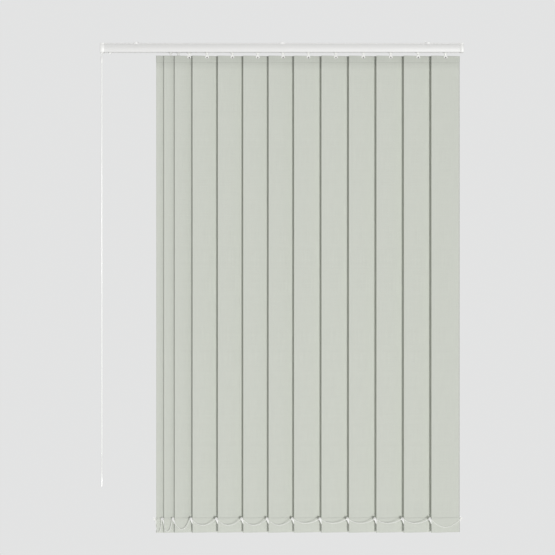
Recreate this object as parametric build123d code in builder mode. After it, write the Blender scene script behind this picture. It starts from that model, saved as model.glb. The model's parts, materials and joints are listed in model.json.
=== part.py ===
"""Vertical blind with cloth slats, a wand-tilted carrier train and linked bottom weights.

Frame: X runs along the headrail, -Y faces the room, +Z is up. The origin is the middle of the
ceiling line, on the centre bracket's top face. The hook stems stand on the line y = 0.
Units are millimetres.
"""

import os
from math import cos, radians, sin, sqrt, tan

from build123d import *

os.makedirs("parts", exist_ok=True)

# ---------------------------------------------------------------- driving dimensions
blind_width = 1046.0  # over both end caps
slat_width = 89.0
slat_length = 1372.0  # top fold to bottom fold
slat_gap = 9.5  # rail bottom to the slats' top fold
rest_tilt = 22.0  # slat angle from the window plane, in degrees

# spacing of the slats from the lead slat to the end slat
lead_pitches = [22.0, 30.5, 51.5]
middle_pitch = 73.0
middle_gaps = 4
full_pitch = 79.0
full_gaps = 5
stack_pitch = 20.0  # closest two carriers come
end_slat_inset = 51.8  # end slat's stem to the blind's far end

# headrail
bracket_height = 3.0  # ceiling to the rail's top lips
rail_height = 27.0
rail_depth = 40.0
rail_wall = 1.4  # under the trucks' feet
web_thickness = 1.6
side_thickness = 2.0
rail_recess = 3.0
lip_height = 2.0
lip_width = 3.4
lip_inset = 1.0
groove_depth = 1.2
groove_height = 1.3
side_bow = 0.8  # how far the rail's front bellies out
low_inset = 0.6
low_corner = 1.5
slot_width = 16.0
guide_height = 2.0
guide_width = 1.2
control_cap_length = 12.0
far_cap_length = 10.0
cap_overhang = 0.4
cap_wall = 1.5
cap_chamfer = 0.7
plug_length = 8.0

# brackets and stop
bracket_pitch = 420.0
bracket_count = 3
bracket_width = 12.0
bracket_thickness = 1.5
bracket_corner = 0.8
toe_length = 0.9
screw_radius = 2.25
stop_inset = 29.0  # from the control end
stop_length = 6.5
stop_drop = 4.0
stop_ledge = 3.0
stop_head = 2.0

# tilt drive
rod_radius = 2.5
rod_flutes = 6
flute_radius = 0.5
rod_drop = 12.0  # below the rail's lips
worm_wall = 1.1
worm_length = 15.0
pinion_radius = 4.1
pinion_teeth = 14
pinion_height = 7.0
gear_wall = 1.1
gear_teeth = 12
gear_width = 6.0
tooth_width = 0.7
tooth_gap = 0.1  # share of the gear's radius
wand_inset = 5.5  # from the control end

# wand
wand_stem_radius = 2.2
outlet_height = 3.0
outlet_wall = 2.2
eye_drop = 7.5  # rail bottom to the eye
eye_radius = 3.2
eye_thickness = 1.6
pin_radius = 1.0
cheek_radius = 2.2
cheek_thickness = 1.1
sleeve_wall = 0.7
sleeve_length = 15.0
sleeve_neck = 6.0
sleeve_rise = 2.0  # sleeve's top above the cheeks' ends
wand_radius = 2.3
wand_length = 1232.0
wand_socket = 11.0

# carriers
truck_end_gap = 0.6
truck_side_gap = 2.5
truck_top_gap = 1.0
truck_corner = 1.5
foot_inset = 1.0
guide_clearance = 1.1
collar_clearance = 1.2
stem_radius = 2.5
strip_width = 7.0
strip_thickness = 0.5
strip_layers = 5
layer_pitch = 0.85
strip_inset = 6.5  # middle of the strip to the truck's back
strip_cover = 0.7  # truck's top to the highest strip
strip_floor_gap = 0.4
strip_side_gap = 0.5
strip_overrun = 1.3
strip_tail = 6.0
ear_length = 8.0
ear_depth = 1.6

# hooks and slats
flare_radius = 6.0
flare_height = 5.3
flare_rim = 1.0
hook_neck_radius = 2.0
socket_depth = 3.0
eye_depth = 5.0  # slats' top fold to the hook's eye
eye_hole_radius = 2.6
eye_wall = 0.8
drop_height = 4.6  # eye to the top of its drop-shaped window
hook_leg = 3.2  # width of a leg beside the eye
hook_foot = 1.1  # eye to the legs' ends
hook_plate = 1.0
hook_rise = 0.8
fabric_thickness = 0.5
pocket_margin = 2.5  # slat's edge to the ends of hanger and weight
hanger_height = 14.0
hanger_corner = 2.0
hanger_thickness = 1.2
pocket_play = 0.1
pocket_taper = 5.0
weight_height = 38.0
weight_thickness = 2.0
weight_corner = 3.0
ring_reach = 5.0  # ring centre beyond the slat's edge
ring_radius = 4.25
ring_hole_radius = 1.2
ring_rise = 1.2  # ring centre above the weight plate
leg_top = 10.0  # weight plate's top to the ring's leg
leg_width = 3.4
leg_root = 4.0  # weight plate's end to the leg's root
leg_step = 0.8

# bead chains
chain_radius = 1.2
chain_slack = 5.0  # chain between two rings, beyond the widest carrier pitch
chain_bend = 4.0
loop_slack = 15.0  # spare length of the chain across the end slat

# clearances
running_gap = 0.08
seat_gap = 0.05
clear_gap = 0.3

# ---------------------------------------------------------------- places worked out from them
rail_top = -bracket_height
rail_bottom = rail_top - rail_height
half_depth = rail_depth / 2
recess_floor = rail_top - rail_recess
cavity_top = recess_floor - web_thickness
cavity_bottom = rail_bottom + rail_wall
cavity_half = half_depth - side_thickness
rail_start = -blind_width / 2 + control_cap_length
rail_end = blind_width / 2 - far_cap_length

worm_radius = rod_radius + worm_wall
gear_radius = rod_radius + gear_wall
rod_offset = worm_radius + pinion_radius + clear_gap  # in front of the hook stems
wand_stem_offset = rod_offset + 2 * gear_radius + clear_gap
rod_z = rail_top - rod_drop
sleeve_radius = wand_radius + sleeve_wall

truck_length = stack_pitch - truck_end_gap
truck_width = 2 * (cavity_half - truck_side_gap)
foot_width = truck_width / 2 - slot_width / 2 - guide_width - guide_clearance
collar_radius = slot_width / 2 - collar_clearance
strip_offset = truck_width / 2 - strip_inset  # behind the hook stems
hanger_length = slat_width - 2 * pocket_margin
weight_length = slat_width - 2 * pocket_margin
chain_segment = full_pitch + chain_slack

slat_top = rail_bottom - slat_gap
slat_bottom = slat_top - slat_length

pitches = lead_pitches + [middle_pitch] * middle_gaps + [full_pitch] * full_gaps
end_x = blind_width / 2 - end_slat_inset
slat_count = len(pitches) + 1
carrier_x = [end_x - sum(pitches[number:]) for number in range(slat_count)]

wand_x = -blind_width / 2 + wand_inset
eye_z = rail_bottom - eye_drop
slat_turn = Location((0, 0, 0), (0, 0, 1), rest_tilt)


def at_carrier(x):
    """Place of a piece that slides with the carrier at x."""
    return Location((x, 0, 0))


def at_slat(x):
    """Place of a piece that turns with the slat at x."""
    return Location((x, 0, 0)) * slat_turn


def save(node, *pieces):
    """Write one node, which holds one piece or a group of separate pieces."""
    shape = pieces[0] if len(pieces) == 1 else Compound(children=list(pieces))
    shape.label = node
    export_step(shape, f"parts/{node}.step")


# ---------------------------------------------------------------- headrail
def rail_outline(grow=0.0):
    """Half outline of the rail's section, on +Y, from the top middle to the bottom middle."""
    side = half_depth + grow
    ridge_in = half_depth - lip_inset - lip_width
    lip_out = side - lip_inset
    groove_top = rail_top - lip_height
    groove_bottom = groove_top - groove_height
    low = rail_bottom - grow
    high = rail_top + grow
    with BuildLine() as half:
        Polyline(
            (0, recess_floor + grow),
            (ridge_in - grow, recess_floor + grow),
            (ridge_in - grow, high),
            (lip_out, high),
            (lip_out, groove_top),
            (lip_out - groove_depth, groove_top),
            (lip_out - groove_depth, groove_bottom),
            (side - side_bow, groove_bottom),
        )
        ThreePointArc(
            (side - side_bow, groove_bottom),
            (side, rail_bottom + rail_height * 0.42),
            (side - low_inset, rail_bottom + low_corner),
        )
        ThreePointArc(
            (side - low_inset, rail_bottom + low_corner),
            (side - low_inset - low_corner * 0.33, low + low_corner * 0.27),
            (side - low_inset - low_corner * 1.07, low),
        )
        Line((side - low_inset - low_corner * 1.07, low), (0, low))
    return half.line


with BuildPart() as headrail:
    with BuildSketch(Plane.YZ.offset(rail_start)):
        with BuildLine():
            add(rail_outline())
            mirror(about=Plane.YZ)
        make_face()
        with Locations((0, (cavity_top + cavity_bottom) / 2)):
            Rectangle(2 * cavity_half, cavity_top - cavity_bottom, mode=Mode.SUBTRACT)
        with Locations((0, rail_bottom)):
            Rectangle(slot_width, 4 * rail_wall, mode=Mode.SUBTRACT)
        guide_y = (slot_width + guide_width) / 2
        with Locations(*[(side * guide_y, cavity_bottom + guide_height / 2) for side in (-1, 1)]):
            Rectangle(guide_width, guide_height)
    extrude(amount=rail_end - rail_start)
save("headrail", headrail.part)

# ---------------------------------------------------------------- end caps
with BuildPart() as control_end_cap:
    with BuildSketch(Plane.YZ.offset(-blind_width / 2)):
        with BuildLine():
            add(rail_outline(cap_overhang))
            mirror(about=Plane.YZ)
        make_face()
    extrude(amount=control_cap_length)
    plug_height = cavity_top - cavity_bottom - guide_height - 2 * clear_gap
    with BuildSketch(Plane.YZ.offset(rail_start)):
        with Locations((0, cavity_top - clear_gap - plug_height / 2)):
            Rectangle(2 * (cavity_half - clear_gap), plug_height)
    extrude(amount=plug_length)
    outer_end = control_end_cap.faces().sort_by(Axis.X)[0]
    chamfer(outer_end.edges(), length=cap_chamfer)
    outlet_base = wand_stem_radius + outlet_wall
    with BuildSketch(Plane.XY.offset(rail_bottom)):
        with Locations((wand_x, -wand_stem_offset)):
            Circle(outlet_base)
    extrude(amount=-outlet_height, taper=12)
    # pocket for the rod gear, along the rod
    with BuildSketch(Plane.YZ.offset(-blind_width / 2 + cap_wall)):
        with Locations((-rod_offset, rod_z)):
            Circle(gear_radius + 2 * clear_gap)
    extrude(amount=control_cap_length - 2 * cap_wall, mode=Mode.SUBTRACT)
    # pocket for the wand stem's gear
    with BuildSketch(Plane.XY.offset(rod_z - gear_width / 2 - clear_gap)):
        with Locations((wand_x, -wand_stem_offset)):
            Circle(gear_radius + clear_gap)
    extrude(amount=gear_width + 2 * clear_gap, mode=Mode.SUBTRACT)
    # bearing for the rod, and bore for the wand stem
    with BuildSketch(Plane.YZ.offset(-blind_width / 2 + cap_wall)):
        with Locations((-rod_offset, rod_z)):
            Circle(rod_radius + running_gap)
    extrude(amount=control_cap_length + plug_length, mode=Mode.SUBTRACT)
    with BuildSketch(Plane.XY.offset(rod_z)):
        with Locations((wand_x, -wand_stem_offset)):
            Circle(wand_stem_radius + running_gap)
    extrude(amount=-rail_height - outlet_height, mode=Mode.SUBTRACT)
save("control_end_cap", control_end_cap.part)

with BuildPart() as far_cap_body:
    with BuildSketch(Plane.YZ.offset(rail_end)):
        with BuildLine():
            add(rail_outline(cap_overhang))
            mirror(about=Plane.YZ)
        make_face()
    extrude(amount=far_cap_length)
    with BuildSketch(Plane.YZ.offset(rail_end)):
        with Locations((0, cavity_top - clear_gap - plug_height / 2)):
            Rectangle(2 * (cavity_half - clear_gap), plug_height)
    extrude(amount=-plug_length)
    outer_end = far_cap_body.faces().sort_by(Axis.X)[-1]
    chamfer(outer_end.edges(), length=cap_chamfer)
    with BuildSketch(Plane.YZ.offset(rail_end + far_cap_length - cap_wall)):
        with Locations((-rod_offset, rod_z)):
            Circle(rod_radius + running_gap)
    extrude(amount=-far_cap_length - plug_length, mode=Mode.SUBTRACT)

# ---------------------------------------------------------------- brackets and rail stop
bracket_x = [(number - (bracket_count - 1) / 2) * bracket_pitch for number in range(bracket_count)]
lip_face = half_depth - lip_inset
toe_top = rail_top - lip_height - clear_gap / 2
toe_bottom = rail_top - lip_height - groove_height + clear_gap / 2

with BuildPart() as bracket:
    with BuildSketch(Plane.YZ.offset(-bracket_width / 2)):
        with BuildLine():
            Polyline(
                (0, 0),
                (lip_face + clear_gap + bracket_thickness, 0),
                (lip_face + clear_gap + bracket_thickness, toe_bottom),
                (lip_face - toe_length, toe_bottom),
                (lip_face - toe_length, toe_top),
                (lip_face + clear_gap, toe_top),
                (lip_face + clear_gap, rail_top),
                (lip_face - lip_width + clear_gap, rail_top),
                (lip_face - lip_width + clear_gap, -bracket_thickness),
                (0, -bracket_thickness),
            )
            mirror(about=Plane.YZ)
        make_face()
    extrude(amount=bracket_width)
    with Locations((0, 0, -bracket_thickness / 2)):
        Hole(radius=screw_radius, depth=bracket_thickness)
    top_ends = bracket.edges().filter_by(Axis.X).group_by(Axis.Z)[-1]
    fillet(top_ends, radius=bracket_corner)
save("mounting_brackets", *[bracket.part.moved(Location((x, 0, 0))) for x in bracket_x])

with BuildPart() as rail_stop:
    stop_x = -blind_width / 2 + stop_inset
    with BuildSketch(Plane.XY.offset(rail_bottom - stop_drop)):
        with Locations((stop_x, 0)):
            RectangleRounded(stop_length, slot_width + stop_ledge, 1.0)
    extrude(amount=stop_drop - clear_gap)
    with BuildSketch(Plane.XY.offset(rail_bottom - clear_gap)):
        with Locations((stop_x, 0)):
            Rectangle(stop_length, slot_width - 2 * clear_gap)
    extrude(amount=rail_wall + guide_height + 2 * clear_gap)
    with BuildSketch(Plane.XY.offset(cavity_bottom + guide_height + clear_gap)):
        with Locations((stop_x, 0)):
            Rectangle(stop_length, slot_width + 2 * stop_ledge)
    extrude(amount=stop_head)
    fillet(rail_stop.edges().group_by(Axis.Z)[0], radius=2 * clear_gap)
save("rail_stop", rail_stop.part)

# ---------------------------------------------------------------- tilt rod and its gears
rod_start = -blind_width / 2 + cap_wall + clear_gap
rod_stop = rail_end + far_cap_length - cap_wall - clear_gap


def fluted_section(radius, groove):
    """Round section with a groove for each flute of the rod."""
    with BuildSketch() as section:
        Circle(radius)
        with PolarLocations(radius, rod_flutes):
            Circle(groove, mode=Mode.SUBTRACT)
    return section.sketch


def toothed_section(radius, teeth):
    """Round section with small gaps between its teeth."""
    with BuildSketch() as section:
        Circle(radius)
        with PolarLocations(radius, teeth):
            Rectangle(2 * tooth_width, 2 * tooth_gap * radius, mode=Mode.SUBTRACT)
    return section.sketch


with BuildPart() as tilt_rod:
    with BuildSketch(Plane.YZ.offset(rod_start)):
        with Locations((-rod_offset, rod_z)):
            add(fluted_section(rod_radius, flute_radius))
    extrude(amount=rod_stop - rod_start)
save("tilt_rod", tilt_rod.part)

with BuildPart() as rod_gear:
    with BuildSketch(Plane.YZ.offset(wand_x - gear_width / 2)):
        with Locations((-rod_offset, rod_z)):
            add(toothed_section(gear_radius, gear_teeth))
            Circle(rod_radius + running_gap, mode=Mode.SUBTRACT)
    extrude(amount=gear_width)
save("rod_gear", rod_gear.part)

with BuildPart() as worm:
    with BuildSketch(Plane.YZ.offset(-worm_length / 2)):
        with Locations((-rod_offset, rod_z)):
            Circle(worm_radius)
            add(fluted_section(rod_radius + running_gap, flute_radius - running_gap), mode=Mode.SUBTRACT)
    extrude(amount=worm_length)
    rims = worm.edges().filter_by(GeomType.CIRCLE)
    rims = rims.filter_by(lambda edge: edge.radius > rod_radius + worm_wall / 2)
    chamfer(rims, length=worm_wall / 2)

# ---------------------------------------------------------------- wand stem, wand hook and wand
with BuildPart() as wand_stem:
    with BuildSketch(Plane.XY.offset(rod_z - gear_width / 2)):
        with Locations((wand_x, -wand_stem_offset)):
            add(toothed_section(gear_radius, gear_teeth))
    extrude(amount=gear_width)
    shaft_end = eye_z + eye_radius - 2 * clear_gap
    with BuildSketch(Plane.XY.offset(shaft_end)):
        with Locations((wand_x, -wand_stem_offset)):
            Circle(wand_stem_radius)
    extrude(amount=rod_z - shaft_end)
    with BuildSketch(Plane.YZ.offset(wand_x - eye_thickness / 2)):
        with Locations((-wand_stem_offset, eye_z)):
            Circle(eye_radius)
        with Locations((-wand_stem_offset, eye_z + eye_radius)):
            Rectangle(1.5 * wand_stem_radius, 1.5 * eye_radius)
        with Locations((-wand_stem_offset, eye_z)):
            Circle(pin_radius + running_gap, mode=Mode.SUBTRACT)
    extrude(amount=eye_thickness)
save("wand_stem", wand_stem.part)

sleeve_top = eye_z - sleeve_neck
with BuildPart() as wand_hook:
    cheek_x = eye_thickness / 2 + clear_gap
    for side in (-1, 1):
        with BuildSketch(Plane.YZ.offset(wand_x + side * cheek_x)):
            with Locations((-wand_stem_offset, eye_z)):
                Circle(cheek_radius)
            with Locations((-wand_stem_offset, (eye_z + sleeve_top) / 2)):
                Rectangle(2 * cheek_radius, eye_z - sleeve_top)
        extrude(amount=side * cheek_thickness)
    with BuildSketch(Plane.YZ.offset(wand_x - cheek_x)):
        with Locations((-wand_stem_offset, eye_z)):
            Circle(pin_radius)
    extrude(amount=2 * cheek_x)
    with BuildSketch(Plane.XY.offset(sleeve_top + sleeve_rise)):
        with Locations((wand_x, -wand_stem_offset)):
            Circle(sleeve_radius)
    extrude(amount=-sleeve_length - sleeve_rise)
    with BuildSketch(Plane.XY.offset(sleeve_top - sleeve_length + wand_socket)):
        with Locations((wand_x, -wand_stem_offset)):
            Circle(wand_radius + seat_gap)
    extrude(amount=-wand_socket - sleeve_length, mode=Mode.SUBTRACT)
save("wand_hook", wand_hook.part)

wand_top = sleeve_top - sleeve_length + wand_socket - seat_gap
with BuildPart() as wand:
    with BuildSketch(Plane.XY.offset(wand_top)):
        with Locations((wand_x, -wand_stem_offset)):
            Circle(wand_radius)
    extrude(amount=-wand_length)
    fillet(wand.edges().group_by(Axis.Z)[0], radius=1.0)
save("wand", wand.part)

# ---------------------------------------------------------------- carriers
truck_top = cavity_top - truck_top_gap
guide_clear = cavity_bottom + guide_height + clear_gap
foot_bottom = cavity_bottom + seat_gap
strip_top = truck_top - strip_cover
strip_stack = (strip_layers - 1) * layer_pitch + strip_thickness
notch_floor = strip_top - strip_stack - strip_floor_gap
notch_half = strip_width / 2 + strip_side_gap
strip_reach = full_pitch + truck_length / 2 + strip_overrun


def layer_top(number):
    """Top of the spacer strip that belongs to carrier number."""
    return strip_top - (number % strip_layers) * layer_pitch


with BuildPart() as truck_blank:
    with BuildSketch(Plane.XY.offset(guide_clear)):
        RectangleRounded(truck_length, truck_width, truck_corner)
    extrude(amount=truck_top - guide_clear)
    foot_y = truck_width / 2 - foot_width / 2
    with BuildSketch(Plane.XY.offset(foot_bottom)):
        with Locations((0, foot_y), (0, -foot_y)):
            Rectangle(truck_length - 2 * foot_inset, foot_width)
    extrude(amount=guide_clear - foot_bottom)
    with BuildSketch(Plane.XY.offset(rail_bottom)):
        Circle(collar_radius)
    extrude(amount=guide_clear - rail_bottom)
    # pocket and bearings for the worm
    with BuildSketch(Plane.YZ.offset(-worm_length / 2 - clear_gap)):
        with Locations((-rod_offset, rod_z)):
            Circle(worm_radius + clear_gap)
    extrude(amount=worm_length + 2 * clear_gap, mode=Mode.SUBTRACT)
    with BuildSketch(Plane.YZ.offset(-truck_length)):
        with Locations((-rod_offset, rod_z)):
            Circle(rod_radius + clear_gap)
    extrude(amount=2 * truck_length, mode=Mode.SUBTRACT)
    # open pocket for the pinion, and bore for its stem
    with BuildSketch(Plane.XY.offset(rod_z - pinion_height / 2)):
        Circle(pinion_radius + clear_gap)
    extrude(amount=truck_top - rod_z + pinion_height, mode=Mode.SUBTRACT)
    with BuildSketch(Plane.XY.offset(rod_z)):
        Circle(stem_radius + running_gap)
    extrude(amount=-rail_height, mode=Mode.SUBTRACT)
    # channel for the spacer strips
    with BuildSketch(Plane.XY.offset(notch_floor)):
        with Locations((0, strip_offset)):
            Rectangle(2 * truck_length, 2 * notch_half)
    extrude(amount=truck_top - notch_floor, mode=Mode.SUBTRACT)


def truck(number):
    """Moulded truck of one carrier, with the socket that holds its own strip."""
    with BuildPart() as body:
        add(truck_blank.part)
        with BuildSketch(Plane.XY.offset(layer_top(number) + seat_gap)):
            with Locations((0, strip_offset + notch_half + ear_depth / 2)):
                Rectangle(ear_length + 2 * seat_gap, ear_depth + 2 * seat_gap)
        extrude(amount=-strip_thickness - 2 * seat_gap, mode=Mode.SUBTRACT)
    return body.part


def spacer_strip(number):
    """Thin strip that limits how far the neighbour on its left can move away."""
    with BuildPart() as strip:
        with BuildSketch(Plane.XY.offset(layer_top(number))):
            with Locations(((strip_tail - strip_reach) / 2, strip_offset)):
                RectangleRounded(strip_tail + strip_reach, strip_width, strip_width / 4)
            with Locations((0, strip_offset + strip_width / 2 + ear_depth / 2)):
                Rectangle(ear_length, ear_depth + 2 * notch_half - strip_width - 2 * seat_gap)
        extrude(amount=-strip_thickness)
    return strip.part


for number, x in enumerate(carrier_x, start=1):
    pieces = [truck(number)]
    if number > 1:
        pieces.append(spacer_strip(number))
    save(f"carrier_{number:02d}", *[piece.moved(at_carrier(x)) for piece in pieces])
    save(f"worm_{number:02d}", worm.part.moved(at_carrier(x)))

# strip that ties the last carrier to the far end cap
anchor_x = rail_end - plug_length
with BuildPart() as anchor_strip:
    with BuildSketch(Plane.XY.offset(layer_top(slat_count + 1))):
        anchor_start = end_x - truck_length / 2
        with Locations(((anchor_start + anchor_x) / 2, strip_offset)):
            Rectangle(anchor_x - anchor_start, strip_width)
    extrude(amount=-strip_thickness)
save("far_end_cap", far_cap_body.part, anchor_strip.part)

# ---------------------------------------------------------------- slat set, made at the origin
flare_top = rail_bottom - clear_gap
neck_z = flare_top - flare_height
stem_foot = flare_top - socket_depth
eye_ring_z = slat_top - eye_depth


def pocket_halves(held_thickness):
    """Half thickness of a pocket's space and of the cloth around it."""
    space = held_thickness / 2 + pocket_play
    return space, space + fabric_thickness


top_space, top_skin = pocket_halves(hanger_thickness)
low_space, low_skin = pocket_halves(weight_thickness)
plate_in = top_skin + 4 * seat_gap
plate_out = plate_in + hook_plate
boss_radius = eye_hole_radius + eye_wall

with BuildPart() as pinion_stem:
    with BuildSketch(Plane.XY.offset(stem_foot)):
        Circle(stem_radius)
    extrude(amount=rod_z + pinion_height / 2 - stem_foot)
    with BuildSketch(Plane.XY.offset(rod_z - pinion_height / 2 + running_gap)):
        add(toothed_section(pinion_radius, pinion_teeth))
    extrude(amount=pinion_height - 2 * running_gap)

with BuildPart() as hook:
    # flared cup that takes the pinion stem
    with BuildSketch(Plane.XZ):
        with BuildLine():
            Polyline(
                (0, flare_top),
                (flare_radius, flare_top),
                (flare_radius - flare_rim * 0.4, flare_top - flare_rim),
                (hook_neck_radius, neck_z),
                (0, neck_z),
                (0, flare_top),
            )
        make_face()
    revolve(axis=Axis.Z)
    with BuildSketch(Plane.XY.offset(flare_top)):
        Circle(stem_radius + seat_gap / 2)
    extrude(amount=-socket_depth - seat_gap, mode=Mode.SUBTRACT)
    # neck over the slat's top, and the legs in front of it
    plate_top = neck_z + hook_rise
    leg_x = eye_hole_radius + hook_leg
    foot_z = eye_ring_z - hook_foot
    outline = [
        (-hook_neck_radius, plate_top),
        (hook_neck_radius, plate_top),
        (leg_x, eye_ring_z + eye_wall),
        (leg_x - eye_wall, foot_z),
        (-leg_x + eye_wall, foot_z),
        (-leg_x, eye_ring_z + eye_wall),
        (-hook_neck_radius, plate_top),
    ]
    with BuildSketch(Plane.XZ.offset(plate_in)):
        with BuildLine():
            Polyline(*outline)
        make_face()
        with Locations((0, eye_ring_z)):
            Circle(boss_radius)
    extrude(amount=hook_plate)
    neck_height = plate_top - slat_top - clear_gap
    with BuildSketch(Plane.XZ.offset(-hook_neck_radius)):
        with Locations((0, plate_top - neck_height / 2)):
            Rectangle(2 * hook_neck_radius, neck_height)
    extrude(amount=hook_neck_radius + plate_out)
    # hollow boss through the hanger, and the window above it
    with BuildSketch(Plane.XZ.offset(-top_space)):
        with Locations((0, eye_ring_z)):
            Circle(boss_radius)
    extrude(amount=top_space + plate_in)
    with BuildSketch(Plane.XZ.offset(-plate_out)):
        with Locations((0, eye_ring_z)):
            Circle(eye_hole_radius)
    extrude(amount=2 * plate_out, mode=Mode.SUBTRACT)
    with BuildSketch(Plane.XZ.offset(plate_in)):
        with BuildLine():
            Polyline(
                (-eye_hole_radius * 0.9, eye_ring_z + eye_hole_radius * 0.4),
                (0, eye_ring_z + drop_height),
                (eye_hole_radius * 0.9, eye_ring_z + eye_hole_radius * 0.4),
                (-eye_hole_radius * 0.9, eye_ring_z + eye_hole_radius * 0.4),
            )
        make_face()
    extrude(amount=hook_plate, mode=Mode.SUBTRACT)

hanger_top = slat_top - fabric_thickness - clear_gap
with BuildPart() as hanger:
    with BuildSketch(Plane.XZ.offset(-hanger_thickness / 2)):
        with Locations((0, hanger_top - hanger_height / 2)):
            RectangleRounded(hanger_length, hanger_height, hanger_corner)
        with Locations((0, eye_ring_z)):
            Circle(boss_radius + running_gap, mode=Mode.SUBTRACT)
    extrude(amount=hanger_thickness)

weight_bottom = slat_bottom + fabric_thickness + clear_gap
weight_top = weight_bottom + weight_height
ring_x = slat_width / 2 + ring_reach
ring_z = weight_top + ring_rise
with BuildPart() as weight:
    with BuildSketch(Plane.XZ.offset(-weight_thickness / 2)):
        with Locations((0, (weight_top + weight_bottom) / 2)):
            RectangleRounded(weight_length, weight_height, weight_corner)
        leg_foot = weight_top - leg_top
        leg_start = weight_length / 2 - leg_root
        for side in (-1, 1):
            with BuildLine():
                Polyline(
                    (side * leg_start, leg_foot - leg_width),
                    (side * leg_start, leg_foot),
                    (side * (ring_x - ring_radius * 0.6), ring_z - ring_radius * 0.3),
                    (side * (ring_x + ring_radius * 0.3), ring_z - ring_radius * 0.6),
                    (side * (slat_width / 2 + leg_step), leg_foot - leg_width),
                    (side * leg_start, leg_foot - leg_width),
                )
            make_face()
        with Locations((ring_x, ring_z), (-ring_x, ring_z)):
            Circle(ring_radius)
            Circle(ring_hole_radius, mode=Mode.SUBTRACT)
    extrude(amount=weight_thickness)


pocket_low = hanger_top - hanger_height - clear_gap
pocket_high = weight_top + clear_gap
with BuildPart() as fabric:
    with BuildSketch(Plane.YZ.offset(-slat_width / 2)):
        with BuildLine():
            Polyline(
                (0, slat_top),
                (top_skin - fabric_thickness, slat_top),
                (top_skin, slat_top - fabric_thickness),
                (top_skin, pocket_low),
                (fabric_thickness / 2, pocket_low - pocket_taper),
                (fabric_thickness / 2, pocket_high + pocket_taper),
                (low_skin, pocket_high),
                (low_skin, slat_bottom + fabric_thickness),
                (low_skin - fabric_thickness, slat_bottom),
                (0, slat_bottom),
            )
            mirror(about=Plane.YZ)
        make_face()
        with Locations((0, (slat_top - fabric_thickness + pocket_low) / 2)):
            Rectangle(2 * top_space, slat_top - fabric_thickness - pocket_low, mode=Mode.SUBTRACT)
        with Locations((0, (slat_bottom + fabric_thickness + pocket_high) / 2)):
            Rectangle(2 * low_space, pocket_high - slat_bottom - fabric_thickness, mode=Mode.SUBTRACT)
    extrude(amount=slat_width)
    # the hook's boss goes in through the room side only
    with BuildSketch(Plane.XZ):
        with Locations((0, eye_ring_z)):
            Circle(boss_radius + clear_gap)
    extrude(amount=2 * top_skin, mode=Mode.SUBTRACT)

for number, x in enumerate(carrier_x, start=1):
    set_pieces = [fabric.part, hanger.part, weight.part, hook.part, pinion_stem.part]
    save(f"slat_{number:02d}", *[piece.moved(at_slat(x)) for piece in set_pieces])

# ---------------------------------------------------------------- bead chains
tilt = radians(rest_tilt)
ring_dx = ring_x * cos(tilt)
ring_front = (ring_x + ring_radius) * sin(tilt) + weight_thickness / 2 * cos(tilt)
chain_y = ring_front + clear_gap + chain_radius
chain_start = chain_radius + 2 * clear_gap


def sag(span, length):
    """Depth of the belly of a chain of this length between two rings that are span apart."""
    return sqrt(((length - 0.4 * span) / 2) ** 2 - (0.3 * span) ** 2)


def chain_length(start, span, y, length):
    """Tube of one length of chain, from the ring at x = start to the next ring."""
    depth = sag(span, length)
    points = [
        (start + chain_start, y, ring_z),
        (start + 0.25 * span, y, ring_z - depth),
        (start + 0.75 * span, y, ring_z - depth),
        (start + span - chain_start, y, ring_z),
    ]
    bend = min(chain_bend, 0.18 * span)
    with BuildPart() as tube:
        with BuildLine() as route:
            FilletPolyline(*points, radius=bend)
        with BuildSketch(Plane(origin=route.line @ 0, z_dir=route.line % 0)):
            Circle(chain_radius)
        sweep()
    return tube.part


lead_count = len(lead_pitches)
for name, side in (("front_chain", -1), ("back_chain", 1)):
    lengths = [
        chain_length(x + side * ring_dx, span, side * chain_y, chain_segment)
        for x, span in zip(carrier_x, pitches)
    ]
    for number in range(lead_count):
        save(f"{name}_{number + 1:02d}", lengths[number])
    save(name, *lengths[lead_count:])

# the front chain's last length hangs across the end slat, from its front ring to its back ring
loop_y = -low_skin - clear_gap - chain_radius
end_loop = chain_length(-ring_x, 2 * ring_x, loop_y, 2 * ring_x + loop_slack)
save("chain_end_loop", end_loop.moved(at_slat(end_x)))
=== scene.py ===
"""A vertical blind: cloth slats under a slotted headrail, tilted by a wand and tied by bead chains.

Lengths are in metres. X runs along the headrail, -Y faces the room and +Z is up.
"""

import cmath
import json
import logging
import math
import random
from dataclasses import dataclass
from enum import Enum
from typing import Callable, Sequence

import bmesh
import bpy
from mathutils import Matrix, Vector

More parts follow.
